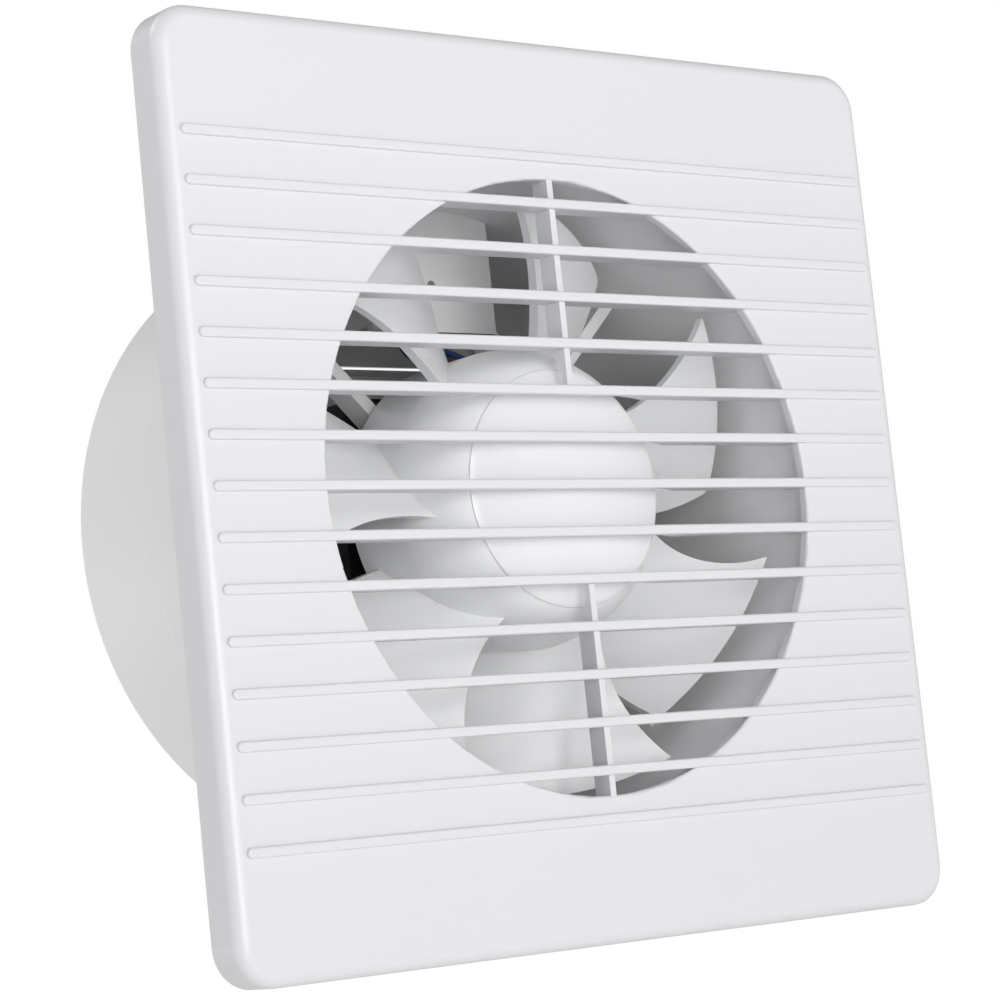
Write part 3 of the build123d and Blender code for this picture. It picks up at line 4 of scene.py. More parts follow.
import bpy
from mathutils import Matrix, Vector


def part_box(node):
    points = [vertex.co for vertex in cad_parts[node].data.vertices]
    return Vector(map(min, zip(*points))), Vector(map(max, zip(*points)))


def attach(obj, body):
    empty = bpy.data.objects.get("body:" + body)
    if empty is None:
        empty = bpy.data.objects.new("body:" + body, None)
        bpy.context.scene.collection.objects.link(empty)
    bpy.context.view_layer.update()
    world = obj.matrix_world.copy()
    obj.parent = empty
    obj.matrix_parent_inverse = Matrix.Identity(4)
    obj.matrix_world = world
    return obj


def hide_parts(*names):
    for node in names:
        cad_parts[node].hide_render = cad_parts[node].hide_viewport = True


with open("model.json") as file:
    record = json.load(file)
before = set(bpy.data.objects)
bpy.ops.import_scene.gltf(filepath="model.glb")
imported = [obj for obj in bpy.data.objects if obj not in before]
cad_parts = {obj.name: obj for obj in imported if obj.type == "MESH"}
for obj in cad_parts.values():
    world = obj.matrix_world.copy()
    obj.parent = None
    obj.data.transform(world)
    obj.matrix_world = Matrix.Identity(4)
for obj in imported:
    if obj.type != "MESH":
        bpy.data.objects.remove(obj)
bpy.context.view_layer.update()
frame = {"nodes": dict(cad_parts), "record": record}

MM = 0.001
SHUTTER_FLAPS = 6
SHUTTER_SCREW_ANGLES = (30, 150, 270)


# ---------------------------------------------------------------- mesh helpers
def piece(name, vertices, faces, material, body, replaced=(), smooth_angle=40.0):
    """A mesh object in the row frame that rides on a body and may stand for CAD nodes."""
    mesh = bpy.data.meshes.new(name)
    mesh.from_pydata([tuple(v) for v in vertices], [], faces)
    mesh.validate()
    mesh.update()
    obj = bpy.data.objects.new(name, mesh)
    bpy.context.scene.collection.objects.link(obj)
    mesh.materials.append(material)
    mesh.shade_smooth()
    mesh.set_sharp_from_angle(angle=radians(smooth_angle))
    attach(obj, body)
    if replaced:
        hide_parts(*replaced)
    return obj


def skin(rings, vertices, faces, close_ends=True, close_loop=False):
    """Quads between neighbouring closed rings, added to the lists; the ends are closed with one face each."""
    start = len(vertices)
    count = len(rings[0])
    for ring in rings:
        vertices.extend(ring)
    pairs = list(zip(range(len(rings) - 1), range(1, len(rings))))
    if close_loop:
        pairs.append((len(rings) - 1, 0))
    for low, high in pairs:
        for k in range(count):
            following = (k + 1) % count
            faces.append((start + low * count + k, start + low * count + following,
                          start + high * count + following, start + high * count + k))
    if close_ends and not close_loop:
        faces.append(tuple(start + k for k in reversed(range(count))))
        faces.append(tuple(start + (len(rings) - 1) * count + k for k in range(count)))


def axes_for(direction):
    """Two unit vectors square to a direction."""
    direction = Vector(direction).normalized()
    side = direction.cross(Vector((0.31, 0.52, 0.79))).normalized()
    if abs(direction.z) < 0.5:
        side = direction.cross(Vector((0, 0, 1))).normalized()
    return side, direction.cross(side)


def lathe(centre, direction, profile, segments, vertices, faces, shape=None):
    """A turned solid: profile is a list of (distance along, radius); shape changes a radius by angle."""
    centre = Vector(centre)
    direction = Vector(direction).normalized()
    side, other = axes_for(direction)
    rings = []
    for along, radius in profile:
        ring = []
        for k in range(segments):
            angle = 2 * pi * k / segments
            r = shape(angle, along, radius) if shape else radius
            ring.append(centre + direction * along + (side * cos(angle) + other * sin(angle)) * r)
        rings.append(ring)
    skin(rings, vertices, faces)


# ---------------------------------------------------------------- materials
COAT_ROUGHNESS = 0.12
SUBSURFACE_DEPTH = 2.0 * MM
MOTTLE_SCALE, SMUDGE_SCALE = 22.0, 95.0  # cells per metre
GRAINS_PER_METRE = 1000.0  # of grain size 1 mm
STRIPES_PER_METRE = 0.314  # the wave texture's scale for a pitch of 1 m


def finish(name, colour, roughness, grain=0.0, grain_size=1.0, mottle=0.02, metallic=0.0, coat=0.0,
           stripes=None, rough_spread=0.06, subsurface=0.0):
    """A moulded, cast or drawn surface: faintly mottled colour, roughness that varies, and a fine grain.

    grain is its height and grain_size its width, both in mm.
    stripes is (axis, pitch in mm, depth in mm, darkening).
    """
    material = bpy.data.materials.new(name)
    material.use_nodes = True
    tree = material.node_tree
    nodes, links = tree.nodes, tree.links
    shader = nodes["Principled BSDF"]
    shader.inputs["Metallic"].default_value = metallic
    shader.inputs["Coat Weight"].default_value = coat
    shader.inputs["Coat Roughness"].default_value = COAT_ROUGHNESS
    shader.inputs["Subsurface Weight"].default_value = subsurface
    shader.inputs["Subsurface Scale"].default_value = SUBSURFACE_DEPTH
    place = nodes.new("ShaderNodeTexCoord")

    cloud = nodes.new("ShaderNodeTexNoise")
    cloud.inputs["Scale"].default_value = MOTTLE_SCALE
    cloud.inputs["Detail"].default_value = 2.0
    links.new(place.outputs["Object"], cloud.inputs["Vector"])
    ramp = nodes.new("ShaderNodeValToRGB")
    ramp.color_ramp.elements[0].position = 0.2
    ramp.color_ramp.elements[1].position = 0.8
    ramp.color_ramp.elements[0].color = (*[c * (1 - mottle) for c in colour], 1)
    ramp.color_ramp.elements[1].color = (*[min(1.0, c * (1 + mottle)) for c in colour], 1)
    links.new(cloud.outputs["Fac"], ramp.inputs["Fac"])
    base = ramp.outputs["Color"]

    smudge = nodes.new("ShaderNodeTexNoise")
    smudge.inputs["Scale"].default_value = SMUDGE_SCALE
    smudge.inputs["Detail"].default_value = 3.0
    links.new(place.outputs["Object"], smudge.inputs["Vector"])
    spread = nodes.new("ShaderNodeMapRange")
    spread.inputs["From Min"].default_value = 0.25
    spread.inputs["From Max"].default_value = 0.75
    spread.inputs["To Min"].default_value = max(0.03, roughness - rough_spread)
    spread.inputs["To Max"].default_value = min(1.0, roughness + rough_spread)
    links.new(smudge.outputs["Fac"], spread.inputs["Value"])
    links.new(spread.outputs["Result"], shader.inputs["Roughness"])

    normal = None
    if grain > 0:
        dots = nodes.new("ShaderNodeTexNoise")
        dots.inputs["Scale"].default_value = GRAINS_PER_METRE / grain_size
        dots.inputs["Detail"].default_value = 2.0
        links.new(place.outputs["Object"], dots.inputs["Vector"])
        bump = nodes.new("ShaderNodeBump")
        bump.inputs["Strength"].default_value = 1.0
        bump.inputs["Distance"].default_value = grain * MM
        links.new(dots.outputs["Fac"], bump.inputs["Height"])
        normal = bump
    if stripes:
        axis, pitch, depth, darkening = stripes
        wave = nodes.new("ShaderNodeTexWave")
        wave.bands_direction = axis
        wave.inputs["Scale"].default_value = STRIPES_PER_METRE / (pitch * MM)
        wave.inputs["Distortion"].default_value = 0.0
        links.new(place.outputs["Object"], wave.inputs["Vector"])
        groove = nodes.new("ShaderNodeBump")
        groove.inputs["Strength"].default_value = 1.0
        groove.inputs["Distance"].default_value = depth * MM
        links.new(wave.outputs["Fac"], groove.inputs["Height"])
        if normal:
            links.new(normal.outputs["Normal"], groove.inputs["Normal"])
        normal = groove
        shade = nodes.new("ShaderNodeMix")
        shade.data_type = "RGBA"
        shade.blend_type = "MULTIPLY"
        shade.inputs["B"].default_value = (darkening, darkening, darkening, 1)
        links.new(wave.outputs["Fac"], shade.inputs["Factor"])
        links.new(base, shade.inputs["A"])
        base = shade.outputs["Result"]
    links.new(base, shader.inputs["Base Color"])
    if normal:
        links.new(normal.outputs["Normal"], shader.inputs["Normal"])
    return material


FINISHES = {
    # fascia_white is a darker tone of the white ABS the impeller is made of: painted shade, so the brightly lit
    # front face comes out no brighter than the parts inside the duct
    "fascia_white": finish("fascia_white", (0.745, 0.745, 0.765), 0.34, 0.0015, 0.9, 0.004,
                           coat=0.1, rough_spread=0.03),
    "housing_white": finish("housing_white", (0.905, 0.907, 0.915), 0.38, 0.003, 0.7, 0.005,
                            rough_spread=0.04),
    # impeller_white is the palest tone of that white ABS: painted light, standing in for the light that passes
    # through the translucent plastic to the blades
    "impeller_white": finish("impeller_white", (0.925, 0.932, 0.940), 0.30, 0.0012, 1.2, 0.004,
                             coat=0.1, rough_spread=0.03),
    "cap_white": finish("cap_white", (0.80, 0.80, 0.815), 0.20, 0.001, 1.6, 0.003,
                        coat=0.25, rough_spread=0.03),
    "shutter_white": finish("shutter_white", (0.80, 0.81, 0.82), 0.40, 0.010, 0.9, 0.012),
    # flap_white is a greyer tone of the shutter's white plastic: painted shade on the flaps at the back of the
    # duct
    "flap_white": finish("flap_white", (0.72, 0.725, 0.74), 0.44, 0.012, 0.7, 0.020, subsurface=0.05),
    "die_cast_alloy": finish("die_cast_alloy", (0.60, 0.61, 0.62), 0.48, 0.05, 0.8, 0.08, metallic=1.0),
    "core_laminations": finish("core_laminations", (0.022, 0.022, 0.026), 0.42, 0.01, 0.6, 0.15, metallic=0.3,
                               stripes=("Y", 0.5, 0.05, 0.45)),
    "rotor_laminations": finish("rotor_laminations", (0.34, 0.34, 0.35), 0.36, 0.01, 0.5, 0.10, metallic=1.0,
                                stripes=("Y", 0.5, 0.05, 0.45)),
    "rotor_aluminium": finish("rotor_aluminium", (0.70, 0.71, 0.72), 0.42, 0.04, 0.7, 0.06, metallic=1.0),
    "copper_bar": finish("copper_bar", (0.72, 0.36, 0.20), 0.30, 0.01, 0.9, 0.10, metallic=1.0),
    "bobbin_nylon": finish("bobbin_nylon", (0.030, 0.030, 0.034), 0.46, 0.02, 0.8, 0.10),
    "enamelled_copper": finish("enamelled_copper", (0.52, 0.185, 0.065), 0.24, 0.004, 0.6, 0.14,
                               metallic=0.85, coat=0.6),
    "coil_tape": finish("coil_tape", (0.022, 0.022, 0.025), 0.34, 0.02, 0.5, 0.12, coat=0.3),
    "sintered_bronze": finish("sintered_bronze", (0.50, 0.34, 0.17), 0.52, 0.04, 0.3, 0.14, metallic=1.0),
    "oiled_felt": finish("oiled_felt", (0.44, 0.38, 0.26), 0.95, 0.25, 0.5, 0.20),
    "spring_steel": finish("spring_steel", (0.50, 0.50, 0.52), 0.28, 0.01, 0.6, 0.06, metallic=1.0),
    "plated_steel": finish("plated_steel", (0.70, 0.70, 0.67), 0.26, 0.008, 0.5, 0.06, metallic=1.0),
    "shaft_steel": finish("shaft_steel", (0.62, 0.62, 0.64), 0.20, 0.005, 0.4, 0.05, metallic=1.0,
                          stripes=("Y", 0.35, 0.004, 0.93)),
    "terminal_nylon": finish("terminal_nylon", (0.82, 0.81, 0.77), 0.40, 0.01, 0.8, 0.03, subsurface=0.1),
    "terminal_brass": finish("terminal_brass", (0.76, 0.56, 0.22), 0.28, 0.008, 0.5, 0.08, metallic=1.0),
    "grommet_rubber": finish("grommet_rubber", (0.022, 0.022, 0.024), 0.62, 0.03, 0.6, 0.15),
    "lead_brown": finish("lead_brown", (0.085, 0.030, 0.012), 0.36, 0.01, 0.8, 0.10, coat=0.2),
    "lead_blue": finish("lead_blue", (0.012, 0.070, 0.27), 0.36, 0.01, 0.8, 0.10, coat=0.2),
    "washer_nylon": finish("washer_nylon", (0.80, 0.78, 0.72), 0.45, 0.01, 0.6, 0.04),
}

for subpart in frame["record"]["subparts"]:
    node = frame["nodes"][subpart["node"]]
    node.data.materials.clear()
    node.data.materials.append(FINISHES[subpart["material_slot"]])


# ---------------------------------------------------------------- pieces modelled here
def smooth_step(value, low, high):
    """0 below low, 1 above high, and a soft passage between."""
    t = min(1.0, max(0.0, (value - low) / (high - low)))
    return t * t * (3 - 2 * t)


def cross_recess(angle, radius, half_width, half_span, depth):
    """Depth of a cross recess with sloping walls at a point of a screw head."""
    x, z = abs(radius * cos(angle)), abs(radius * sin(angle))
    across, along = min(x, z), max(x, z)
    inside = (1 - smooth_step(across, half_width * 0.7, half_width * 1.3))
    return depth * inside * (1 - smooth_step(along, half_span * 0.72, half_span))


def slot_recess(angle, radius, half_width, half_span, depth):
    """Depth of a straight slot right across a screw head."""
    return depth * (1 - smooth_step(abs(radius * sin(angle)), half_width * 0.8, half_width * 1.2))


SCREW_SEGMENTS = 48
HEAD_RINGS = 15
HEAD_EDGE = ((0.965, 0.60), (0.995, 0.50), (1.0, 0.40), (1.0, 0.10), (0.99, 0.03), (0.96, 0.0))
CROWN_SHARE, RECESS_SHARE = 0.32, 0.62  # of the head's height
RECESS_HALF_WIDTH, RECESS_HALF_SPAN = 0.15, 0.62  # of the head's radius
PLAIN_SHANK_SHARE = 0.98  # of the thread's outer radius
THREAD_DEPTH_SHARE = 0.16
THREAD_STEPS = 5  # rings per turn
POINT_START, POINT_TAPER = 0.86, 0.35


def screw(seat, outward, head_r, head_height, shank_r, length, vertices, faces, recess=cross_recess,
          pitch=0.8 * MM, thread_start=0.0):
    """A screw whose head stands on seat, facing outward, with a helical thread from thread_start on."""
    seat, outward = Vector(seat), Vector(outward).normalized()
    side, other = axes_for(outward)
    rings = []

    def ring(height_at, radius_at):
        points = []
        for k in range(SCREW_SEGMENTS):
            angle = 2 * pi * k / SCREW_SEGMENTS
            r = radius_at(angle)
            points.append(seat + outward * height_at(angle, r) + (side * cos(angle) + other * sin(angle)) * r)
        rings.append(points)

    crown = head_height * CROWN_SHARE
    half_width, half_span = head_r * RECESS_HALF_WIDTH, head_r * RECESS_HALF_SPAN
    for step in range(1, HEAD_RINGS):
        share = step / HEAD_RINGS
        ring(lambda a, r: head_height - crown * (r / head_r) ** 2
             - recess(a, r, half_width, half_span, head_height * RECESS_SHARE), lambda a, s=share: head_r * s)
    for share, lift in HEAD_EDGE:
        ring(lambda a, r, h=lift: head_height * h, lambda a, s=share: head_r * s)
    steps = max(8, int(length / (pitch / THREAD_STEPS)))
    for step in range(steps + 1):
        down = length * step / steps
        if down < thread_start:
            ring(lambda a, r, d=down: -d, lambda a: shank_r * PLAIN_SHANK_SHARE)
            continue
        taper = 1 - POINT_TAPER * smooth_step(down, length * POINT_START, length)

        def threaded(angle, d=down, t=taper):
            turn = (d / pitch + angle / (2 * pi)) % 1.0
            return shank_r * t * (1 - THREAD_DEPTH_SHARE * abs(2 * turn - 1))
        ring(lambda a, r, d=down: -d, threaded)
    skin(rings, vertices, faces)


def screws(name, node, slot_name, body, places, outward, head_r, head_height, shank_r, length, **more):
    """One piece of equal screws, standing for a CAD node."""
    vertices, faces = [], []
    for place in places:
        screw(place, outward, head_r, head_height, shank_r, length, vertices, faces, **more)
    return piece(name, vertices, faces, FINISHES[slot_name], body, (node,), 50.0)


TO_ROOM, TO_DUCT = Vector((0, -1, 0)), Vector((0, 1, 0))

# the three screws of the shutter frame, set in its rear face
low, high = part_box("shutter_screws")
HEAD_R, HEAD_HEIGHT, SHUTTER_SHANK_R = 2.5 * MM, 1.6 * MM, 1.4 * MM
screw_circle = -low.z - HEAD_R
seat_y = high.y - HEAD_HEIGHT
screws("shutter_frame_screws", "shutter_screws", "plated_steel", "fan_body",
       [(screw_circle * cos(radians(a)), seat_y, screw_circle * sin(radians(a))) for a in SHUTTER_SCREW_ANGLES],
       TO_DUCT, HEAD_R, HEAD_HEIGHT, SHUTTER_SHANK_R, seat_y - low.y)

# the two screws that hold the motor to its seat
low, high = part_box("motor_mount_screws")
MOUNT_HEAD_R, MOUNT_HEAD_HEIGHT, MOUNT_SHANK_R = 2.8 * MM, 1.4 * MM, 1.45 * MM
screws("motor_seat_screws", "motor_mount_screws", "plated_steel", "fan_body",
       [(x, low.y + MOUNT_HEAD_HEIGHT, 0) for x in (low.x + MOUNT_HEAD_R, high.x - MOUNT_HEAD_R)],
       TO_ROOM, MOUNT_HEAD_R, MOUNT_HEAD_HEIGHT, MOUNT_SHANK_R,
       high.y - low.y - MOUNT_HEAD_HEIGHT)

# the two long bolts through the brackets and the core
low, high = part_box("motor_bolts")
BOLT_HEAD_R, BOLT_HEAD_HEIGHT, BOLT_SHANK_R = 3.2 * MM, 2.2 * MM, 1.68 * MM
BOLT_PLAIN_SHARE = 0.6  # of the shank, without thread
bolt_length = high.y - low.y - BOLT_HEAD_HEIGHT
screws("motor_through_bolts", "motor_bolts", "plated_steel", "fan_body",
       [(0, high.y - BOLT_HEAD_HEIGHT, z) for z in (low.z + BOLT_HEAD_R, high.z - BOLT_HEAD_R)],
       TO_DUCT, BOLT_HEAD_R, BOLT_HEAD_HEIGHT, BOLT_SHANK_R, bolt_length,
       thread_start=bolt_length * BOLT_PLAIN_SHARE)

# the terminal cover's screw
low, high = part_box("terminal_cover_screw")
COVER_HEAD_R, COVER_HEAD_HEIGHT = 2.3 * MM, 1.5 * MM
SMALL_SHANK_R = 1.18 * MM
screws("cover_screw", "terminal_cover_screw", "plated_steel", "fan_body",
       [((low.x + high.x) / 2, high.y - COVER_HEAD_HEIGHT, (low.z + high.z) / 2)],
       TO_DUCT, COVER_HEAD_R, COVER_HEAD_HEIGHT, SMALL_SHANK_R, high.y - low.y - COVER_HEAD_HEIGHT)

# the four slotted terminal screws
low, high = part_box("terminal_screws")
TERMINAL_HEAD_R, TERMINAL_HEAD_HEIGHT = 1.9 * MM, 2.0 * MM
screws("wire_clamp_screws", "terminal_screws", "plated_steel", "fan_body",
       [(x, high.y - TERMINAL_HEAD_HEIGHT, z) for x in (low.x + TERMINAL_HEAD_R, high.x - TERMINAL_HEAD_R)
        for z in (low.z + TERMINAL_HEAD_R, high.z - TERMINAL_HEAD_R)],
       TO_DUCT, TERMINAL_HEAD_R, TERMINAL_HEAD_HEIGHT, SMALL_SHANK_R,
       high.y - low.y - TERMINAL_HEAD_HEIGHT, recess=slot_recess)

# nose cap: a shallow polished dome with a stepped seam round its rim and a skirt that goes into the hub
low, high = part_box("nose_cap")
cap_r, front_y, back_y = high.x, low.y, high.y
CAP_RISE = 2.8 * MM
SEAM_Y = front_y + CAP_RISE
CAP_WALL = 1.6 * MM
DOME_STEPS, INSIDE_STEPS, DOME_SHARE = 28, 12, 0.965
sphere_r = (cap_r ** 2 + CAP_RISE ** 2) / (2 * CAP_RISE)
profile = []
for step in range(1, DOME_STEPS + 1):
    r = cap_r * DOME_SHARE * step / DOME_STEPS
    profile.append((front_y + sphere_r - sqrt(sphere_r ** 2 - r ** 2), r))
profile += [(SEAM_Y - 0.02 * MM, cap_r * 0.985), (SEAM_Y + 0.14 * MM, cap_r * 0.997),
            (SEAM_Y + 0.34 * MM, cap_r), (SEAM_Y + 0.46 * MM, cap_r - 0.14 * MM),
            (SEAM_Y + 0.50 * MM, cap_r - 0.6 * MM)]
SKIRT_R = cap_r - 2.1 * MM
profile += [(SEAM_Y + 0.50 * MM, SKIRT_R), (back_y - 0.3 * MM, SKIRT_R), (back_y, SKIRT_R - 0.3 * MM),
            (back_y, SKIRT_R - CAP_WALL), (SEAM_Y + 0.5 * MM, SKIRT_R - CAP_WALL)]
for step in range(INSIDE_STEPS, 0, -1):
    r = (SKIRT_R - CAP_WALL) * step / INSIDE_STEPS
    profile.append((front_y + CAP_WALL + sphere_r - sqrt(sphere_r ** 2 - r ** 2), r))
vertices, faces = [], []
CAP_SEGMENTS = 160
lathe((0, 0, 0), TO_DUCT, profile, CAP_SEGMENTS, vertices, faces)
piece("nose_cap_dome", vertices, faces, FINISHES["cap_white"], "rotor", ("nose_cap",), 35.0)

# cable grommet: soft lips either side of the spigot's wall, with shallow folds round its throat
low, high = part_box("cable_grommet")
FLANGE_R, NECK_R, BORE_R = 5.6 * MM, 4.55 * MM, 3.2 * MM
bottom, top = low.z + 0.35 * MM, high.z
lip = 1.2 * MM
profile = [(bottom, BORE_R + 0.4 * MM), (bottom, FLANGE_R - 0.5 * MM),
           (bottom + 0.2 * MM, FLANGE_R - 0.12 * MM), (bottom + 0.5 * MM, FLANGE_R),
           (bottom + lip - 0.3 * MM, FLANGE_R - 0.05 * MM),
           (bottom + lip, FLANGE_R - 0.3 * MM), (bottom + lip + 0.05 * MM, NECK_R),
           (top - lip - 0.05 * MM, NECK_R), (top - lip, FLANGE_R - 0.3 * MM),
           (top - lip + 0.3 * MM, FLANGE_R - 0.05 * MM), (top - 0.6 * MM, FLANGE_R - 0.08 * MM),
           (top - 0.25 * MM, FLANGE_R - 0.4 * MM), (top - 0.02 * MM, FLANGE_R - 1.0 * MM),
           (top, BORE_R + 0.6 * MM), (top - 0.15 * MM, BORE_R + 0.15 * MM)]
FOLDS, STEPS_PER_FOLD = 5, 6
FOLD_DEPTH, THROAT_LIP = 0.12 * MM, 0.4 * MM
for step in range(FOLDS * STEPS_PER_FOLD + 1):
    share = step / (FOLDS * STEPS_PER_FOLD)
    profile.append((top - THROAT_LIP - share * (top - bottom - 2 * THROAT_LIP),
                    BORE_R + FOLD_DEPTH * sin(share * FOLDS * 2 * pi) ** 2))
profile.append((bottom + 0.15 * MM, BORE_R + 0.15 * MM))
vertices, faces = [], []
middle = (low + high) / 2
centre = Vector((middle.x, middle.y, 0))
GROMMET_SEGMENTS = 72
turns = [2 * pi * k / GROMMET_SEGMENTS for k in range(GROMMET_SEGMENTS)]
rings = [[centre + Vector((r * cos(turn), r * sin(turn), z)) for turn in turns] for z, r in profile]
skin(rings, vertices, faces, close_loop=True)
piece("grommet_lips", vertices, faces, FINISHES["grommet_rubber"], "fan_body",
      ("cable_grommet",), 60.0)


def rounded_rectangle(centre_x, centre_y, half_x, half_y, corner, z, steps=7):
    """Points round a level rounded rectangle."""
    points = []
    for quarter, (sx, sy) in enumerate(((1, 1), (-1, 1), (-1, -1), (1, -1))):
        for step in range(steps):
            angle = (quarter + step / (steps - 1)) * pi / 2
            points.append(Vector((centre_x + sx * (half_x - corner) + corner * cos(angle),
                                  centre_y + sy * (half_y - corner) + corner * sin(angle), z)))
    return points


def wrapped_sleeve(name, node, slot_name, corner, wall, levels):
    """A sleeve round the coil limb: levels lists (share of the height, how far the surface is drawn in)."""
    low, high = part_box(node)
    cx, cy = (low.x + high.x) / 2, (low.y + high.y) / 2
    hx, hy = (high.x - low.x) / 2, (high.y - low.y) / 2
    rings = []
    for share, inset in levels:
        z = low.z + (high.z - low.z) * share
        rings.append(rounded_rectangle(cx, cy, hx - inset, hy - inset, corner, z))
    for share in (1, 0):
        z = low.z + (high.z - low.z) * share
        rings.append(rounded_rectangle(cx, cy, hx - wall, hy - wall, max(corner - wall, 0.2 * MM), z))
    vertices, faces = [], []
    skin(rings, vertices, faces, close_loop=True)
    return piece(name, vertices, faces, FINISHES[slot_name], "fan_body", (node,), 60.0)


# the coil's outer tape: turns that overlap by half, so each shows as a low step with a slightly loose edge
TAPE_TURNS = 5
TAPE_STEP = 0.22 * MM
TAPE_CORNER, TAPE_WALL = 3.4 * MM, 0.49 * MM
levels = []
for number in range(TAPE_TURNS):
    start = number / TAPE_TURNS
    levels += [(start, TAPE_STEP), (start + 0.02, 0.20 * MM), (start + 0.05, 0.16 * MM),
               (start + 0.19, 0.06 * MM), (start + 0.197, 0.0)]
levels.append((1.0, TAPE_STEP))
wrapped_sleeve("coil_tape_wraps", "coil_tape", "coil_tape", TAPE_CORNER, TAPE_WALL, levels)

# the winding's wire turns, seen at the tape's ends
WIRE_TURNS, STEPS_PER_TURN = 56, 4
WIRE_GROOVE = 0.10 * MM
WINDING_CORNER, WINDING_WALL = 3.0 * MM, 6.9 * MM
levels = []
for number in range(WIRE_TURNS * STEPS_PER_TURN + 1):
    levels.append((number / (WIRE_TURNS * STEPS_PER_TURN),
                   WIRE_GROOVE * (1 - abs(sin(number * pi / STEPS_PER_TURN)))))
wrapped_sleeve("coil_wire_turns", "coil_winding", "enamelled_copper", WINDING_CORNER, WINDING_WALL, levels)

# on the duct side of each flap: a raised bead along the lower edge, and upright stiffeners in line
BEAD_HALF, BEAD_LIFT = 0.7 * MM, 0.38 * MM
BEAD_RISE, LOWEST_BEAD_RISE = 1.6 * MM, 6.0 * MM  # above the flap's lower edge
BEAD_ROOT = 0.2 * MM  # how far a bead goes into the plate
BEAD_ENDS = ((0.0, 0.25), (0.006, 0.7), (0.015, 0.95), (0.03, 1.0),
             (0.97, 1.0), (0.985, 0.95), (0.994, 0.7), (1.0, 0.25))  # (share of the length, scale)
BEAD_ARC_STEPS = 8
PLATE_BACK = 0.6 * MM  # the flap plate's duct side, behind the middle of the flap
FLAP_CIRCLE_R = 65.8 * MM
FLAP_MARGIN, FLAP_SHOULDER = 3.0 * MM, 2.4 * MM
STIFFENER_SPREAD = 34.0 * MM
STIFFENER_TOP_GAP = 3.2 * MM
for number in range(1, SHUTTER_FLAPS + 1):
    node = f"shutter_flap_{number}"
    low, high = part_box(node)
    plate_back = (low.y + high.y) / 2 + PLATE_BACK
    vertices, faces = [], []

    def bead(start, end, half=BEAD_HALF, lift=BEAD_LIFT):
        start, end = Vector(start), Vector(end)
        along = (end - start).normalized()
        across = along.cross(TO_DUCT)
        rings = []
        for share, scale in BEAD_ENDS:
            place = start.lerp(end, share)
            ring = []
            for k in range(BEAD_ARC_STEPS + 1):
                angle = pi * k / BEAD_ARC_STEPS
                ring.append(place + across * (cos(angle) * half * scale)
                            + TO_DUCT * (sin(angle) * lift * scale))
            ring.append(place - across * half * scale - TO_DUCT * BEAD_ROOT)
            ring.append(place + across * half * scale - TO_DUCT * BEAD_ROOT)
            rings.append(ring)
        skin(rings, vertices, faces)

    def half_width(z):
        """Half the flap's width at a height, less a margin."""
        off_middle = min(abs(z), FLAP_CIRCLE_R * 0.98)
        half_chord = sqrt(max(FLAP_CIRCLE_R ** 2 - off_middle ** 2, 0.0))
        if z > 0:
            half_chord = min(half_chord, sqrt(max(FLAP_CIRCLE_R ** 2 - (z + FLAP_SHOULDER) ** 2, 0.0)))
        return half_chord - FLAP_MARGIN

    lower = low.z + BEAD_RISE if number < SHUTTER_FLAPS else low.z + LOWEST_BEAD_RISE
    reach = half_width(lower)
    bead((-reach, plate_back, lower), (reach, plate_back, lower))
    upper = high.z - STIFFENER_TOP_GAP
    for post in (-STIFFENER_SPREAD, 0.0, STIFFENER_SPREAD):
        if abs(post) < min(reach, half_width(upper)) - FLAP_MARGIN:
            bead((post, plate_back, lower), (post, plate_back, upper), BEAD_HALF * 0.7, BEAD_LIFT * 0.8)
    piece(f"flap_{number}_beads", vertices, faces, FINISHES["flap_white"], f"flap_{number}")


# ---------------------------------------------------------------- camera, floor and light
CAMERA_PLACE = (-0.43167, -0.51274, -0.07794)
CAMERA_RIGHT = Vector((0.7796, -0.6180, -0.10151))
CAMERA_DOWN = Vector((-0.00761, 0.15272, -0.98824))
CAMERA_FORWARD = Vector((0.62623, 0.7712, 0.11436))
LENS_MM, SENSOR_MM = 109.674, 36.0

camera_data = bpy.data.cameras.new("camera")
camera_data.sensor_width = SENSOR_MM
camera_data.lens = LENS_MM
camera_data.clip_start = 0.05
camera_data.clip_end = 60.0
camera = bpy.data.objects.new("camera", camera_data)
turn = Matrix((CAMERA_RIGHT, -CAMERA_DOWN, -CAMERA_FORWARD)).transposed()
camera.matrix_world = Matrix.Translation(CAMERA_PLACE) @ turn.to_4x4()
bpy.context.scene.collection.objects.link(camera)
bpy.context.scene.camera = camera
bpy.context.scene.view_settings.view_transform = "Standard"
bpy.context.scene.view_settings.look = "None"

FLOOR_Z = -0.30
FLOOR_HALF = 25.0
floor_mesh = bpy.data.meshes.new("floor")
floor_corners = [(x * FLOOR_HALF, y * FLOOR_HALF, FLOOR_Z) for x, y in ((-1, -1), (1, -1), (1, 1), (-1, 1))]
floor_mesh.from_pydata(floor_corners, [], [(0, 1, 2, 3)])
floor = bpy.data.objects.new("floor", floor_mesh)
paper = finish("floor_paper", (0.97, 0.97, 0.97), 0.9, 0.0, 1.0, 0.004)
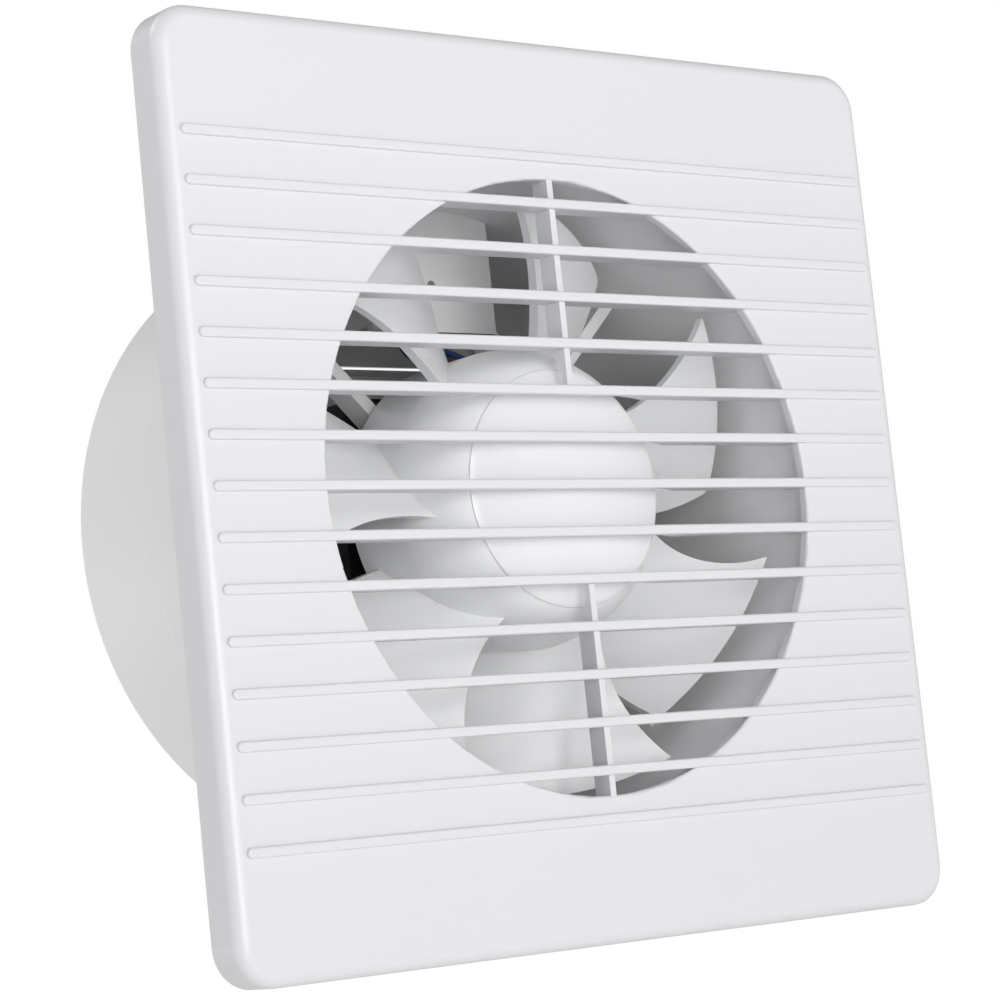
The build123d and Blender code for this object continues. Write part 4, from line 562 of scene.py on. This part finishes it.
# painted light: the floor glows, faintly near the fan and more with distance, so the far floor meets the
# backdrop; under the glow it is plain paper
ptree = paper.node_tree
pshader = ptree.nodes["Principled BSDF"]
pshader.inputs["Emission Color"].default_value = (1, 1, 1, 1)
far = ptree.nodes.new("ShaderNodeVectorMath")
far.operation = "LENGTH"
glow = ptree.nodes.new("ShaderNodeMapRange")
for socket, value in (("From Min", 0.9), ("From Max", 2.0), ("To Min", 0.10), ("To Max", 0.72)):
    glow.inputs[socket].default_value = value
ptree.links.new(ptree.nodes.new("ShaderNodeTexCoord").outputs["Object"], far.inputs[0])
ptree.links.new(far.outputs["Value"], glow.inputs["Value"])
ptree.links.new(glow.outputs["Result"], pshader.inputs["Emission Strength"])
floor_mesh.materials.append(paper)
bpy.context.scene.collection.objects.link(floor)

# (name, place, size, strength); each one faces the object
LIGHTS = (
    ("key", (-0.10, -1.75, 0.25), 0.9, 7.3),
    ("camera_side", (-0.62, -1.40, -0.05), 0.7, 7.1),
    ("front_right", (1.3, -1.5, 0.35), 1.2, 1.8),
    ("left_top", (-1.1, 1.1, 1.6), 1.1, 12.2),
)
for name, place, size, strength in LIGHTS:
    data = bpy.data.lights.new(name, "AREA")
    data.shape = "SQUARE"
    data.size = size
    data.energy = strength
    lamp = bpy.data.objects.new(name, data)
    lamp.location = place
    lamp.rotation_euler = Vector(place).to_track_quat("Z", "Y").to_euler()
    bpy.context.scene.collection.objects.link(lamp)

# the room lights the fan less than the backdrop's own brightness in the picture
ROOM_LIGHT, BACKDROP_BRIGHTNESS = 0.34, 1.0
world = bpy.data.worlds.new("studio")
bpy.context.scene.world = world
world.use_nodes = True
wnodes, wlinks = world.node_tree.nodes, world.node_tree.links
room = wnodes["Background"]
room.inputs["Color"].default_value = (1.0, 1.0, 1.0, 1)
room.inputs["Strength"].default_value = ROOM_LIGHT
backdrop = wnodes.new("ShaderNodeBackground")
backdrop.inputs["Color"].default_value = (1.0, 1.0, 1.0, 1)
backdrop.inputs["Strength"].default_value = BACKDROP_BRIGHTNESS
seen = wnodes.new("ShaderNodeLightPath")
mix = wnodes.new("ShaderNodeMixShader")
wlinks.new(seen.outputs["Is Camera Ray"], mix.inputs["Fac"])
wlinks.new(room.outputs["Background"], mix.inputs[1])
wlinks.new(backdrop.outputs["Background"], mix.inputs[2])
wlinks.new(mix.outputs["Shader"], wnodes["World Output"].inputs["Surface"])
